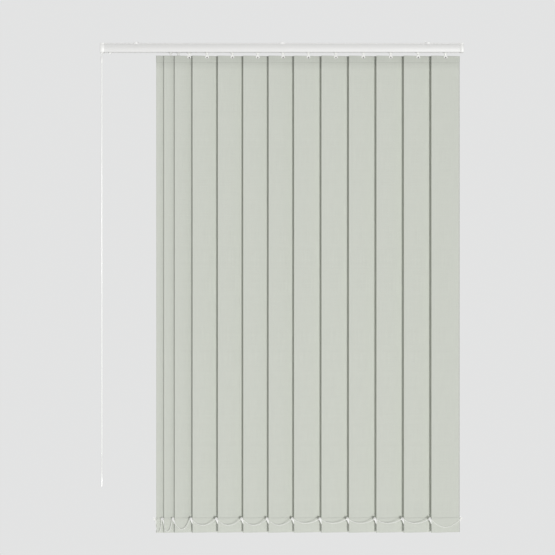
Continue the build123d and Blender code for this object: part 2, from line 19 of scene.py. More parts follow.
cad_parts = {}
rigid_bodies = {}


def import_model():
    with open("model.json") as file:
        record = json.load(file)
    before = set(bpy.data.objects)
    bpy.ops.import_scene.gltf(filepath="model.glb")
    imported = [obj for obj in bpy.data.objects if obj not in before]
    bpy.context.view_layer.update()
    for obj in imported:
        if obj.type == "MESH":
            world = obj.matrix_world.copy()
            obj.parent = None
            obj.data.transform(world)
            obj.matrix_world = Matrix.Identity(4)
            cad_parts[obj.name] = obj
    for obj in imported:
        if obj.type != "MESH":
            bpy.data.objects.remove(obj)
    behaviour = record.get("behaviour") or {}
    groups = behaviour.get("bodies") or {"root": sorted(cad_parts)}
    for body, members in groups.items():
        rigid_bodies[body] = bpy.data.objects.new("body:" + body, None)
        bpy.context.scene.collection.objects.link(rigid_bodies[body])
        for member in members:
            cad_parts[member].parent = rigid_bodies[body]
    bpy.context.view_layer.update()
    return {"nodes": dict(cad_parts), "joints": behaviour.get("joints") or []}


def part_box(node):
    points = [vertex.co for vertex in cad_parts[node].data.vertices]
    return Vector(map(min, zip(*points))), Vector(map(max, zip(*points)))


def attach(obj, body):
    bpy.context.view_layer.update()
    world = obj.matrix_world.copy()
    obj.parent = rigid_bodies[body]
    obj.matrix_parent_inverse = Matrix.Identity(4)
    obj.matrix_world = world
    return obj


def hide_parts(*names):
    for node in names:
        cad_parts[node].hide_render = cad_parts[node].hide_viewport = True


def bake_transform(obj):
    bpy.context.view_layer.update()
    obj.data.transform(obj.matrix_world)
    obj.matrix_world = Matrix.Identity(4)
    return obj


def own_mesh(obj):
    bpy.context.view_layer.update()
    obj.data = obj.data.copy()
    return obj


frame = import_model()
LOG = logging.getLogger("vertical_blind")
MM = 0.001
SHARP_ANGLE = math.radians(32)
FLAT_ANGLE = math.radians(0.6)
CLOTH_ANGLE = math.radians(80)
ROUNDING_STEPS = 2
SAME_PLACE = 0.001 * MM
MIDDLE_BAND = 0.01 * MM

Point = tuple[float, float]
Socket = bpy.types.NodeSocket
Mesh = bmesh.types.BMesh
Edge = bmesh.types.BMEdge
FLOAT, VECTOR = "NodeSocketFloat", "NodeSocketVector"


class Slot(Enum):
    """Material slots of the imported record, as the new pieces name them."""

    RAIL = "rail_white"
    CAP = "cap_white"
    BRACKET = "bracket_steel"
    GEAR = "gear_plastic"
    WAND = "wand_plastic"
    CARRIER = "carrier_plastic"
    CLOTH = "slat_cloth"
    CHAIN = "chain_plastic"


class Side(Enum):
    """The two bead chains, with the sign of the slat edge that each one follows."""

    FRONT = -1
    BACK = 1

    @property
    def chain(self) -> str:
        """Name of this side's chain body."""
        return f"{self.name.lower()}_chain"


# ---------------------------------------------------------------- shader node groups
class NodeSketch:
    """A short way to add and join nodes in one tree."""

    def __init__(self, tree: bpy.types.NodeTree) -> None:
        """Starts on a tree.

        Args:
            tree: the material's or the group's node tree.
        """
        self.tree = tree

    def add(self, kind: str, **settings: object) -> bpy.types.Node:
        """Adds a node.

        Args:
            kind: the node's type name, without its ShaderNode prefix.
            settings: attributes to set on it.

        Returns:
            The new node.
        """
        node = self.tree.nodes.new(f"ShaderNode{kind}")
        for name, value in settings.items():
            setattr(node, name, value)
        return node

    def feed(self, target: Socket, value: object) -> None:
        """Links a socket to the target, or sets the target's own value.

        Args:
            target: the input socket.
            value: an output socket, or a plain value.
        """
        if isinstance(value, bpy.types.NodeSocket):
            self.tree.links.new(value, target)
        else:
            target.default_value = value

    def math(self, operation: str, *values: object) -> Socket:
        """Adds a Math node.

        Args:
            operation: the node's operation, such as MULTIPLY.
            values: its inputs, each a socket or a number.

        Returns:
            The node's output socket.
        """
        node = self.add("Math", operation=operation)
        for target, value in zip(node.inputs, values):
            self.feed(target, value)
        return node.outputs[0]

    def noise(self, vector: Socket, scale: object, detail: float = 3.0) -> Socket:
        """Adds a Noise Texture.

        Args:
            vector: the coordinates.
            scale: how many features there are per metre.
            detail: the number of finer layers.

        Returns:
            The texture's value socket.
        """
        node = self.add("TexNoise")
        self.feed(node.inputs["Vector"], vector)
        self.feed(node.inputs["Scale"], scale)
        node.inputs["Detail"].default_value = detail
        node.inputs["Roughness"].default_value = 0.55
        return node.outputs[0]

    def bump(self, height: Socket, distance: object) -> bpy.types.Node:
        """Adds a Bump node.

        Args:
            height: the socket that gives the height.
            distance: how far the height moves the surface, in metres.

        Returns:
            The node.
        """
        node = self.add("Bump")
        self.feed(node.inputs["Height"], height)
        self.feed(node.inputs["Distance"], distance)
        return node

    def stretched(self, vector: Socket, scale: Sequence[float]) -> Socket:
        """Scales coordinates by a Mapping node.

        Args:
            vector: the coordinates.
            scale: the factor along each axis.

        Returns:
            The mapped vector socket.
        """
        node = self.add("Mapping")
        self.feed(node.inputs["Vector"], vector)
        node.inputs["Scale"].default_value = scale
        return node.outputs[0]

    def ranged(self, value: Socket, low: float, high: float, to_low: float, to_high: float) -> Socket:
        """Maps a value from one range to another, clamped.

        Args:
            value: the socket to map.
            low: where the range starts.
            high: where the range ends.
            to_low: the result at low.
            to_high: the result at high.

        Returns:
            The mapped socket.
        """
        node = self.add("MapRange")
        for target, number in zip(node.inputs, (value, low, high, to_low, to_high)):
            self.feed(target, number)
        return node.outputs[0]

    def colours(self, factor: Socket, first: Sequence[float], second: Sequence[float]) -> Socket:
        """Mixes two colours.

        Args:
            factor: 0 gives the first colour and 1 the second.
            first: an RGB colour.
            second: an RGB colour.

        Returns:
            The colour socket.
        """
        node = self.add("Mix", data_type="RGBA")
        self.feed(node.inputs[0], factor)
        node.inputs[6].default_value = (*first, 1.0)
        node.inputs[7].default_value = (*second, 1.0)
        return node.outputs[2]

    def darkened(self, colour: Socket, factor: Socket) -> Socket:
        """Darkens a colour.

        Args:
            colour: the colour socket.
            factor: 0 leaves the colour and 1 gives black.

        Returns:
            The darker colour's socket.
        """
        node = self.add("Mix", data_type="RGBA", blend_type="MULTIPLY")
        self.feed(node.inputs[0], factor)
        self.feed(node.inputs[6], colour)
        node.inputs[7].default_value = (0.0, 0.0, 0.0, 1.0)
        return node.outputs[2]

    def split(self, vector: Socket) -> bpy.types.NodeOutputs:
        """Adds a Separate XYZ node.

        Args:
            vector: the vector to split.

        Returns:
            The node's three outputs.
        """
        node = self.add("SeparateXYZ")
        self.feed(node.inputs[0], vector)
        return node.outputs


@dataclass(frozen=True)
class GroupPlan:
    """A node group with named sockets, built once and shared by the finishes."""

    name: str
    inputs: tuple[tuple[str, str, object], ...]
    outputs: tuple[tuple[str, str], ...]
    draw: Callable[[NodeSketch, bpy.types.Node], dict[str, Socket]]

    def tree(self) -> bpy.types.NodeTree:
        """Gives the group, which is built at its first use.

        Returns:
            The group's node tree.
        """
        found = bpy.data.node_groups.get(self.name)
        if found:
            return found
        tree = bpy.data.node_groups.new(self.name, "ShaderNodeTree")
        for label, kind, value in self.inputs:
            socket = tree.interface.new_socket(label, in_out="INPUT", socket_type=kind)
            if value is not None:
                socket.default_value = value
        for label, kind in self.outputs:
            tree.interface.new_socket(label, in_out="OUTPUT", socket_type=kind)
        sketch = NodeSketch(tree)
        source = tree.nodes.new("NodeGroupInput")
        target = tree.nodes.new("NodeGroupOutput")
        for label, value in self.draw(sketch, source).items():
            sketch.feed(target.inputs[label], value)
        return tree

    def place(self, sketch: NodeSketch, **values: object) -> bpy.types.Node:
        """Puts the group into a material.

        Args:
            sketch: the material's nodes.
            values: a socket or a number for each named input.

        Returns:
            The group node.
        """
        node = sketch.add("Group")
        node.node_tree = self.tree()
        for label, value in values.items():
            sketch.feed(node.inputs[label], value)
        return node


def draw_grain(sketch: NodeSketch, source: bpy.types.Node) -> dict[str, Socket]:
    """Fine moulded or sprayed grain.

    Args:
        sketch: the group's nodes.
        source: the group's input node, with Vector, Scale and Depth.

    Returns:
        Normal, Tone and Mottle.
    """
    fine = sketch.noise(source.outputs["Vector"], source.outputs["Scale"])
    broad = sketch.noise(source.outputs["Vector"], 14.0, 2.0)
    return {
        "Normal": sketch.bump(fine, source.outputs["Depth"]).outputs["Normal"],
        "Tone": sketch.ranged(fine, 0.3, 0.7, 0.0, 1.0),
        "Mottle": sketch.ranged(broad, 0.3, 0.7, 0.0, 1.0),
    }


GRAIN = GroupPlan(
    "fine_grain",
    (("Vector", VECTOR, None), ("Scale", FLOAT, 900.0), ("Depth", FLOAT, 0.02 * MM)),
    (("Normal", VECTOR), ("Tone", FLOAT), ("Mottle", FLOAT)),
    draw_grain,
)


def draw_weave(sketch: NodeSketch, source: bpy.types.Node) -> dict[str, Socket]:
    """Plain weave with slightly uneven threads, on coordinates in metres.

    Args:
        sketch: the group's nodes.
        source: the group's input node, with Vector and Pitch.

    Returns:
        Height and Thread, both from 0 to 1.
    """
    wander_scale, wander_reach = 160.0, 0.4 * MM
    across_slub, along_slub = 900.0, 14.0
    vector = source.outputs["Vector"]
    wander = sketch.noise(vector, wander_scale, 2.0)
    per_thread = sketch.math("DIVIDE", math.pi, source.outputs["Pitch"])
    waves = []
    for place in sketch.split(vector)[:2]:
        shifted = sketch.math("ADD", place, sketch.math("MULTIPLY", wander, wander_reach))
        waves.append(sketch.math("MULTIPLY", shifted, per_thread))
    rounds = [sketch.math("ABSOLUTE", sketch.math("SINE", wave)) for wave in waves]
    halves = [sketch.math("SINE", sketch.math("MULTIPLY", wave, 0.5)) for wave in waves]
    over = sketch.math("GREATER_THAN", sketch.math("MULTIPLY", halves[0], halves[1]), 0.0)
    under = sketch.math("SUBTRACT", 1.0, over)
    warp = sketch.math("MULTIPLY", rounds[0], over)
    weft = sketch.math("MULTIPLY", rounds[1], under)
    height = sketch.math("ADD", warp, weft)
    slub_warp = sketch.noise(sketch.stretched(vector, (across_slub, along_slub, 1.0)), 1.0, 1.0)
    slub_weft = sketch.noise(sketch.stretched(vector, (along_slub, across_slub, 1.0)), 1.0, 1.0)
    thread = sketch.math("MULTIPLY", sketch.math("ADD", slub_warp, slub_weft), 0.5)
    return {"Height": height, "Thread": sketch.ranged(thread, 0.36, 0.64, 0.0, 1.0)}


WEAVE = GroupPlan(
    "plain_weave",
    (("Vector", VECTOR, None), ("Pitch", FLOAT, 0.5 * MM)),
    (("Height", FLOAT), ("Thread", FLOAT)),
    draw_weave,
)


def draw_weld(sketch: NodeSketch, source: bpy.types.Node) -> dict[str, Socket]:
    """A dashed weld line across the cloth.

    Args:
        sketch: the group's nodes.
        source: the group's input node, with Vector, Place, Width and Dash.

    Returns:
        Mask, which is 1 inside the pressed dashes.
    """
    dash_level = -0.35  # sine level, so the dashes are longer than their gaps
    across, along, _ = sketch.split(source.outputs["Vector"])
    away = sketch.math("ABSOLUTE", sketch.math("SUBTRACT", along, source.outputs["Place"]))
    line = sketch.math("LESS_THAN", away, source.outputs["Width"])
    turn = sketch.math("DIVIDE", sketch.math("MULTIPLY", across, math.tau), source.outputs["Dash"])
    dashes = sketch.math("GREATER_THAN", sketch.math("SINE", turn), dash_level)
    return {"Mask": sketch.math("MULTIPLY", line, dashes)}


WELD = GroupPlan(
    "weld_line",
    (
        ("Vector", VECTOR, None),
        ("Place", FLOAT, 0.0),
        ("Width", FLOAT, 0.8 * MM),
        ("Dash", FLOAT, 3 * MM),
    ),
    (("Mask", FLOAT),),
    draw_weld,
)


def draw_pocket(sketch: NodeSketch, source: bpy.types.Node) -> dict[str, Socket]:
    """Painted shade along the top of the cloth, down past the top pocket, where the rail above shades it.

    Args:
        sketch: the group's nodes.
        source: the group's input node, with Vector, End and Fade.

    Returns:
        Mask, 1 where the painted shade is full, fading to 0 past End.
    """
    along = sketch.split(source.outputs["Vector"])[1]
    past = sketch.math("SUBTRACT", along, source.outputs["End"])
    share = sketch.math("DIVIDE", past, source.outputs["Fade"])
    return {"Mask": sketch.ranged(share, 0.0, 1.0, 1.0, 0.0)}


RAIL_SHADE_GROUP = GroupPlan(
    "double_cloth",
    (("Vector", VECTOR, None), ("End", FLOAT, 30 * MM), ("Fade", FLOAT, 20 * MM)),
    (("Mask", FLOAT),),
    draw_pocket,
)


# ---------------------------------------------------------------- finishes
@dataclass(frozen=True)
class Finish:
    """A surface finish, made into one material."""

    name: str
    colour: tuple[float, float, float]
    roughness: float

    def principled(self) -> tuple[bpy.types.Material, NodeSketch, bpy.types.Node]:
        """Makes an empty material with its shader.

        Returns:
            The material, its nodes and its Principled BSDF.
        """
        material = bpy.data.materials.new(self.name)
        material.use_nodes = True
        sketch = NodeSketch(material.node_tree)
        shader = next(node for node in material.node_tree.nodes if node.type == "BSDF_PRINCIPLED")
        shader.inputs["Roughness"].default_value = self.roughness
        return material, sketch, shader

    def place(self, sketch: NodeSketch, scale: Sequence[float] = (1.0, 1.0, 1.0)) -> Socket:
        """Gives object coordinates, stretched along each axis.

        Args:
            sketch: the material's nodes.
            scale: the factor along each axis.

        Returns:
            The vector socket.
        """
        source = sketch.add("TexCoord")
        return sketch.stretched(source.outputs["Object"], scale)

    def shaded(self, share: float) -> tuple[float, ...]:
        """Returns the finish's colour, times a share."""
        return tuple(min(1.0, channel * share) for channel in self.colour)


@dataclass(frozen=True)
class MouldedPlastic(Finish):
    """Moulded plastic with a fine spark-eroded grain."""

    grain: float = 1400.0
    depth: float = 0.03 * MM
    spread: float = 0.03

    def build(self) -> bpy.types.Material:
        """Makes the finish.

        Returns:
            The material.
        """
        material, sketch, shader = self.principled()
        grain = GRAIN.place(sketch, Vector=self.place(sketch), Scale=self.grain, Depth=self.depth)
        dark, light = self.shaded(1 - self.spread), self.shaded(1 + self.spread)
        base = sketch.colours(grain.outputs["Mottle"], dark, light)
        sketch.feed(shader.inputs["Base Color"], base)
        rough = sketch.ranged(grain.outputs["Tone"], 0.0, 1.0, self.roughness - 0.05, self.roughness + 0.06)
        sketch.feed(shader.inputs["Roughness"], rough)
        sketch.feed(shader.inputs["Normal"], grain.outputs["Normal"])
        return material


@dataclass(frozen=True)
class CoatedMetal(Finish):
    """Metal under a satin powder coat, with its faint orange peel."""

    peel: float = 420.0
    depth: float = 0.05 * MM

    def build(self) -> bpy.types.Material:
        """Makes the finish.

        Returns:
            The material.
        """
        material, sketch, shader = self.principled()
        along = self.place(sketch, (0.35, 1.0, 1.0))
        grain = GRAIN.place(sketch, Vector=along, Scale=self.peel, Depth=self.depth)
        mottle = grain.outputs["Mottle"]
        base = sketch.colours(mottle, self.shaded(0.985), self.shaded(1.01))
        sketch.feed(shader.inputs["Base Color"], base)
        rough = sketch.ranged(mottle, 0.0, 1.0, self.roughness - 0.03, self.roughness + 0.04)
        sketch.feed(shader.inputs["Roughness"], rough)
        sketch.feed(shader.inputs["Normal"], grain.outputs["Normal"])
        shader.inputs["Coat Weight"].default_value = 0.15
        shader.inputs["Coat Roughness"].default_value = 0.3
        return material


@dataclass(frozen=True)
class DrawnMetal(Finish):
    """Bare metal with the fine lines that a drawing die leaves along it."""

    lines: float = 2600.0
    depth: float = 0.02 * MM

    def build(self) -> bpy.types.Material:
        """Makes the finish.

        Returns:
            The material.
        """
        material, sketch, shader = self.principled()
        shader.inputs["Metallic"].default_value = 1.0
        lines = sketch.noise(self.place(sketch, (4.0, self.lines, self.lines)), 1.0, 2.0)
        base = sketch.colours(lines, self.shaded(0.88), self.shaded(1.06))
        sketch.feed(shader.inputs["Base Color"], base)
        rough = sketch.ranged(lines, 0.3, 0.7, self.roughness - 0.08, self.roughness + 0.1)
        sketch.feed(shader.inputs["Roughness"], rough)
        sketch.feed(shader.inputs["Normal"], sketch.bump(lines, self.depth).outputs["Normal"])
        return material


@dataclass(frozen=True)
class ExtrudedPlastic(Finish):
    """Glossy plastic rod, with the faint streaks of its die along Z."""

    streaks: float = 900.0
    depth: float = 0.01 * MM

    def build(self) -> bpy.types.Material:
        """Makes the finish.

        Returns:
            The material.
        """
        material, sketch, shader = self.principled()
        streaks = sketch.noise(self.place(sketch, (self.streaks, self.streaks, 3.0)), 1.0, 2.0)
        base = sketch.colours(streaks, self.shaded(0.97), self.shaded(1.02))
        sketch.feed(shader.inputs["Base Color"], base)
        rough = sketch.ranged(streaks, 0.3, 0.7, self.roughness, self.roughness + 0.1)
        sketch.feed(shader.inputs["Roughness"], rough)
        sketch.feed(shader.inputs["Normal"], sketch.bump(streaks, self.depth).outputs["Normal"])
        shader.inputs["Coat Weight"].default_value = 0.3
        shader.inputs["Coat Roughness"].default_value = 0.12
        return material


@dataclass(frozen=True)
class WovenCloth(Finish):
    """Stiffened plain-woven cloth, with the pressed weld line of each pocket and painted shade along its
    top.
    """

    pitch: float = 0.55 * MM
    depth: float = 0.05 * MM
    welds: tuple[float, ...] = ()
    pocket_end: float = 0.0
    pocket_fade: float = 22.0 * MM
    pocket_shade: float = 0.12
    weld_shade: float = 0.15
    weld_press: float = 1.5
    gap_shade: float = 0.16
    fuzz: float = 3000.0
    fuzz_depth: float = 0.02 * MM

    def build(self) -> bpy.types.Material:
        """Makes the finish, which reads the cloth's own flat map in metres.

        Returns:
            The material.
        """
        material, sketch, shader = self.principled()
        flat = sketch.add("UVMap", uv_map="flat").outputs[0]
        weave = WEAVE.place(sketch, Vector=flat, Pitch=self.pitch)
        fuzz = GRAIN.place(sketch, Vector=flat, Scale=self.fuzz, Depth=self.fuzz_depth)
        base = sketch.colours(weave.outputs["Thread"], self.shaded(0.965), self.shaded(1.03))
        pressed = 0.0
        for place in self.welds:
            mask = WELD.place(sketch, Vector=flat, Place=place)
            pressed = sketch.math("ADD", mask.outputs["Mask"], pressed)
        # painted shade: the cloth is darkened along its top, down past the top pocket's weld, for the shade
        # under the rail
        pocket = RAIL_SHADE_GROUP.place(sketch, Vector=flat, End=self.pocket_end, Fade=self.pocket_fade)
        shade = sketch.math("MULTIPLY", pocket.outputs["Mask"], self.pocket_shade)
        # the darkened base holds both the weld lines and the painted shade along the top
        folded = sketch.darkened(base, sketch.math("MULTIPLY_ADD", pressed, self.weld_shade, shade))
        gaps = sketch.ranged(weave.outputs["Height"], 0.0, 0.5, self.gap_shade, 0.0)
        sketch.feed(shader.inputs["Base Color"], sketch.darkened(folded, gaps))
        dent = sketch.math("MULTIPLY", pressed, self.weld_press)
        bump = sketch.bump(sketch.math("SUBTRACT", weave.outputs["Height"], dent), self.depth)
        sketch.feed(bump.inputs["Normal"], fuzz.outputs["Normal"])
        sketch.feed(shader.inputs["Normal"], bump.outputs["Normal"])
        shader.inputs["Sheen Weight"].default_value = 0.12
        shader.inputs["Sheen Roughness"].default_value = 0.5
        shader.inputs["Specular IOR Level"].default_value = 0.25
        return material


@dataclass(frozen=True)
class CutEdge(Finish):
    """The slit edge of stiffened cloth, where its thread ends show."""

    ends: float = 1800.0
    depth: float = 0.04 * MM

    def build(self) -> bpy.types.Material:
        """Makes the finish.

        Returns:
            The material.
        """
        material, sketch, shader = self.principled()
        ends = sketch.noise(self.place(sketch), self.ends, 2.0)
        sketch.feed(shader.inputs["Base Color"], sketch.colours(ends, self.shaded(0.94), self.shaded(1.05)))
        sketch.feed(shader.inputs["Normal"], sketch.bump(ends, self.depth).outputs["Normal"])
        return material


# ---------------------------------------------------------------- mesh tools
def arc(start: Point, middle: Point, end: Point, steps: int) -> list[Point]:
    """Points along the arc through three points.

    Args:
        start: the first point.
        middle: a point between.
        end: the last point.
        steps: how many parts the arc has.

    Returns:
        The points after start, up to and with end.
    """
    a, b, c = (complex(*point) for point in (start, middle, end))
    ratio = (c - a) / (b - a)
    centre = a - (a - b) * (ratio - abs(ratio) ** 2) / (2j * ratio.imag)
    spoke = a - centre
    turn_b, turn_c = (cmath.phase((point - centre) / spoke) % math.tau for point in (b, c))
    turn = turn_c if turn_b < turn_c else turn_c - math.tau
    found = [centre + spoke * cmath.rect(1.0, turn * step / steps) for step in range(1, steps + 1)]
    return [(point.real, point.imag) for point in found]


def round_arc(centre: Point, radius: float, start: float, end: float, steps: int) -> list[Point]:
    """Points along a circle.

    Args:
        centre: the circle's centre.
        radius: its radius.
        start: the first angle, in degrees.
        end: the last angle, in degrees.
        steps: how many parts the arc has.

    Returns:
        The points, both ends included.
    """
    angles = [math.radians(start + (end - start) * step / steps) for step in range(steps + 1)]
    return [(centre[0] + radius * math.cos(a), centre[1] + radius * math.sin(a)) for a in angles]


def rounded_box(width: float, height: float, radius: float) -> list[Point]:
    """Outline of a rectangle with round corners, about the origin.

    Args:
        width: its size along the first axis.
        height: its size along the second axis.
        radius: the corners' radius.

    Returns:
        The outline's points.
    """
    x, y = width / 2 - radius, height / 2 - radius
    points: list[Point] = []
    for turn, centre in enumerate(((x, y), (-x, y), (-x, -y), (x, -y))):
        points += round_arc(centre, radius, 90.0 * turn, 90.0 * turn + 90.0, 4)
    return points


def extruded(bm: Mesh, faces: Sequence[bmesh.types.BMFace], shift: Sequence[float]) -> None:
    """Gives flat faces a thickness.

    Args:
        bm: the mesh that holds them.
        faces: the faces.
        shift: how far their other side lies from them.
    """
    grown = bmesh.ops.extrude_face_region(bm, geom=faces, use_keep_orig=True)
    moved = [item for item in grown["geom"] if isinstance(item, bmesh.types.BMVert)]
    bmesh.ops.translate(bm, vec=shift, verts=moved)


def pulled(bm: Mesh, line: Sequence[Edge], shift: Sequence[float]) -> list[Edge]:
    """Draws a strip of faces from a line of edges.

    Args:
        bm: the mesh that holds them.
        line: the edges.
        shift: how far the strip's other side lies from them.

    Returns:
        The edges of the other side.
    """
    grown = bmesh.ops.extrude_edge_only(bm, edges=line)["geom"]
    moved = [item for item in grown if isinstance(item, bmesh.types.BMVert)]
    bmesh.ops.translate(bm, vec=shift, verts=moved)
    fresh = set(moved)
    return [item for item in grown if isinstance(item, Edge) and fresh.issuperset(item.verts)]


def plate(bm: Mesh, outline: Sequence[Point], y: float, thickness: float) -> None:
    """Adds a flat plate whose outline lies in XZ.

    Args:
        bm: the mesh to add to.
        outline: the outline's x and z.
        y: the plate's lower y.
        thickness: its size along Y.
    """
    face = bm.faces.new([bm.verts.new((x, y, z)) for x, z in outline])
    extruded(bm, [face], (0.0, thickness, 0.0))


def mirrored(bm: Mesh) -> None:
    """Adds the mirror image along X of all that the mesh holds, and joins the two at the middle.

    Args:
        bm: the mesh.
    """
    bmesh.ops.mirror(bm, geom=[*bm.verts, *bm.edges, *bm.faces], axis="X", merge_dist=MIDDLE_BAND)
    middle = [face for face in bm.faces if all(abs(v.co.x) < MIDDLE_BAND for v in face.verts)]
    bmesh.ops.delete(bm, geom=middle, context="FACES")


def turned(bm: Mesh, profile: Sequence[Point], centre: Sequence[float], axis: str, steps: int) -> None:
    """Adds a turned shape.

    Args:
        bm: the mesh to add to.
        profile: radius and height of each point, a closed loop or a line that ends on the axis.
        centre: a point on the axis.
        axis: Y or Z, the direction of the heights.
        steps: the parts all round.
    """
    origin = Vector(centre)
    up = Vector((0, 1, 0)) if axis == "Y" else Vector((0, 0, 1))
    verts = [bm.verts.new(origin + Vector((radius, 0, 0)) + up * height) for radius, height in profile]
    ends = list(zip(verts, verts[1:]))
    if profile[0][0] > 0:
        ends.append((verts[-1], verts[0]))
    edges = [bm.edges.new(pair) for pair in ends]
    bmesh.ops.spin(
        bm, geom=verts + edges, cent=origin, axis=up, angle=math.tau, steps=steps, use_merge=True,
        use_normal_flip=False,
    )
    bmesh.ops.remove_doubles(bm, verts=bm.verts[:], dist=SAME_PLACE)


def round_edges(bm: Mesh, edges: Sequence[Edge], width: float) -> None:
    """Rounds edges.

    Args:
        bm: the mesh that holds them.
        edges: the edges.
        width: the width of the rounding.
    """
    bmesh.ops.bevel(
        bm, geom=edges, offset=width, offset_type="OFFSET", affect="EDGES", segments=ROUNDING_STEPS,
        profile=0.5, material=-1, clamp_overlap=True,
    )


def soften(bm: Mesh, width: float) -> None:
    """Rounds every sharp edge a little.

    Args:
        bm: the mesh.
        width: the width of the rounding.
    """
    sharp = [e for e in bm.edges if len(e.link_faces) == 2 and e.calc_face_angle(0.0) > SHARP_ANGLE]
    round_edges(bm, sharp, width)


def make_piece(name: str, bm: Mesh, materials: Sequence[bpy.types.Material],
               place: Matrix = Matrix.Identity(4), angle: float = SHARP_ANGLE) -> bpy.types.Object:
    """Turns a finished mesh into an object at the origin.

    Args:
        name: the piece's name.
        bm: the mesh, which is freed.
        materials: its materials.
        place: where the piece goes, which is put into its mesh.
        angle: edges that turn more than this stay sharp.

    Returns:
        The new object.
    """
    bmesh.ops.transform(bm, matrix=place, verts=bm.verts[:])
    for face in bm.faces:
        face.smooth = True
    for edge in bm.edges:
        edge.smooth = len(edge.link_faces) != 2 or edge.calc_face_angle(0.0) < angle
    mesh = bpy.data.meshes.new(name)
    bm.to_mesh(mesh)
    bm.free()
    for material in materials:
        mesh.materials.append(material)
    obj = bpy.data.objects.new(name, mesh)
    bpy.context.scene.collection.objects.link(obj)
    LOG.info("%s: %d faces", name, len(mesh.polygons))
    return obj


def outward(bm: Mesh) -> None:
    """Turns every closed shell's faces outwards."""
    bmesh.ops.recalc_face_normals(bm, faces=bm.faces[:])


def refined(node: str, name: str, body: str, material: bpy.types.Material,
            soft: float) -> None:
    """Replaces a hard node by a copy with softened edges.

    Args:
        node: the node to copy.
        name: the new piece's name.
        body: the body that it rides on.
        material: its finish.
        soft: the width of the rounding along its edges.
    """
    bm = bmesh.new()
    bm.from_mesh(frame["nodes"][node].data)
    bmesh.ops.remove_doubles(bm, verts=bm.verts[:], dist=2 * SAME_PLACE)
    bmesh.ops.dissolve_limit(
        bm, angle_limit=FLAT_ANGLE, use_dissolve_boundaries=False, verts=bm.verts[:], edges=bm.edges[:]
    )
    soften(bm, soft)
    piece = make_piece(name, bm, [material])
    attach(piece, body)
    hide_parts(node)


# ---------------------------------------------------------------- layout from the frame
@dataclass(frozen=True)
class Layout:
    """Places that every sub-assembly shares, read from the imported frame."""

    stems: dict[int, Vector]
    tilt: float
    ring_reach: float
    rail_low: Vector
    rail_high: Vector
    slat_low: float
    slat_gap: float = 9.5 * MM
    eye_depth: float = 5.0 * MM

    @classmethod
    def read(cls) -> "Layout":
        """Reads the loaded frame.

        Returns:
            Its layout.
        """
        joints = {joint["name"]: joint for joint in frame["joints"]}
        stems = {
            int(joint["child"][-2:]): Vector(joint["pos_m"])
            for joint in joints.values()
            if joint["child"].startswith("slat_")
        }
        turn = joints["front_chain_turn"]
        ring = Vector(turn["pos_m"]) - stems[int(turn["parent"][-2:])]
        low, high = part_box("headrail")
        return cls(
            stems=dict(sorted(stems.items())),
            tilt=math.atan2(-ring.y, -ring.x),
            ring_reach=ring.length,
            rail_low=low,
            rail_high=high,
            slat_low=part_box("slat_01")[0].z,
        )

    def slat_place(self, number: int) -> Matrix:
        """Returns the turn and shift from a slat's own axes to its place."""
        return Matrix.Translation(self.stems[number]) @ Matrix.Rotation(self.tilt, 4, "Z")

    def ring(self, number: int, side: Side) -> Vector:
        """Returns where the middle of a slat's ring is, at z = 0."""
        return self.slat_place(number) @ Vector((side.value * self.ring_reach, 0.0, 0.0))

    @property
    def slat_top(self) -> float:
        """Height of the slats' top folds."""
        return self.rail_low.z - self.slat_gap

    @property
    def eye(self) -> float:
        """Height of the hooks' eyes."""
        return self.slat_top - self.eye_depth

    @property
    def count(self) -> int:
        """Number of slats."""
        return len(self.stems)


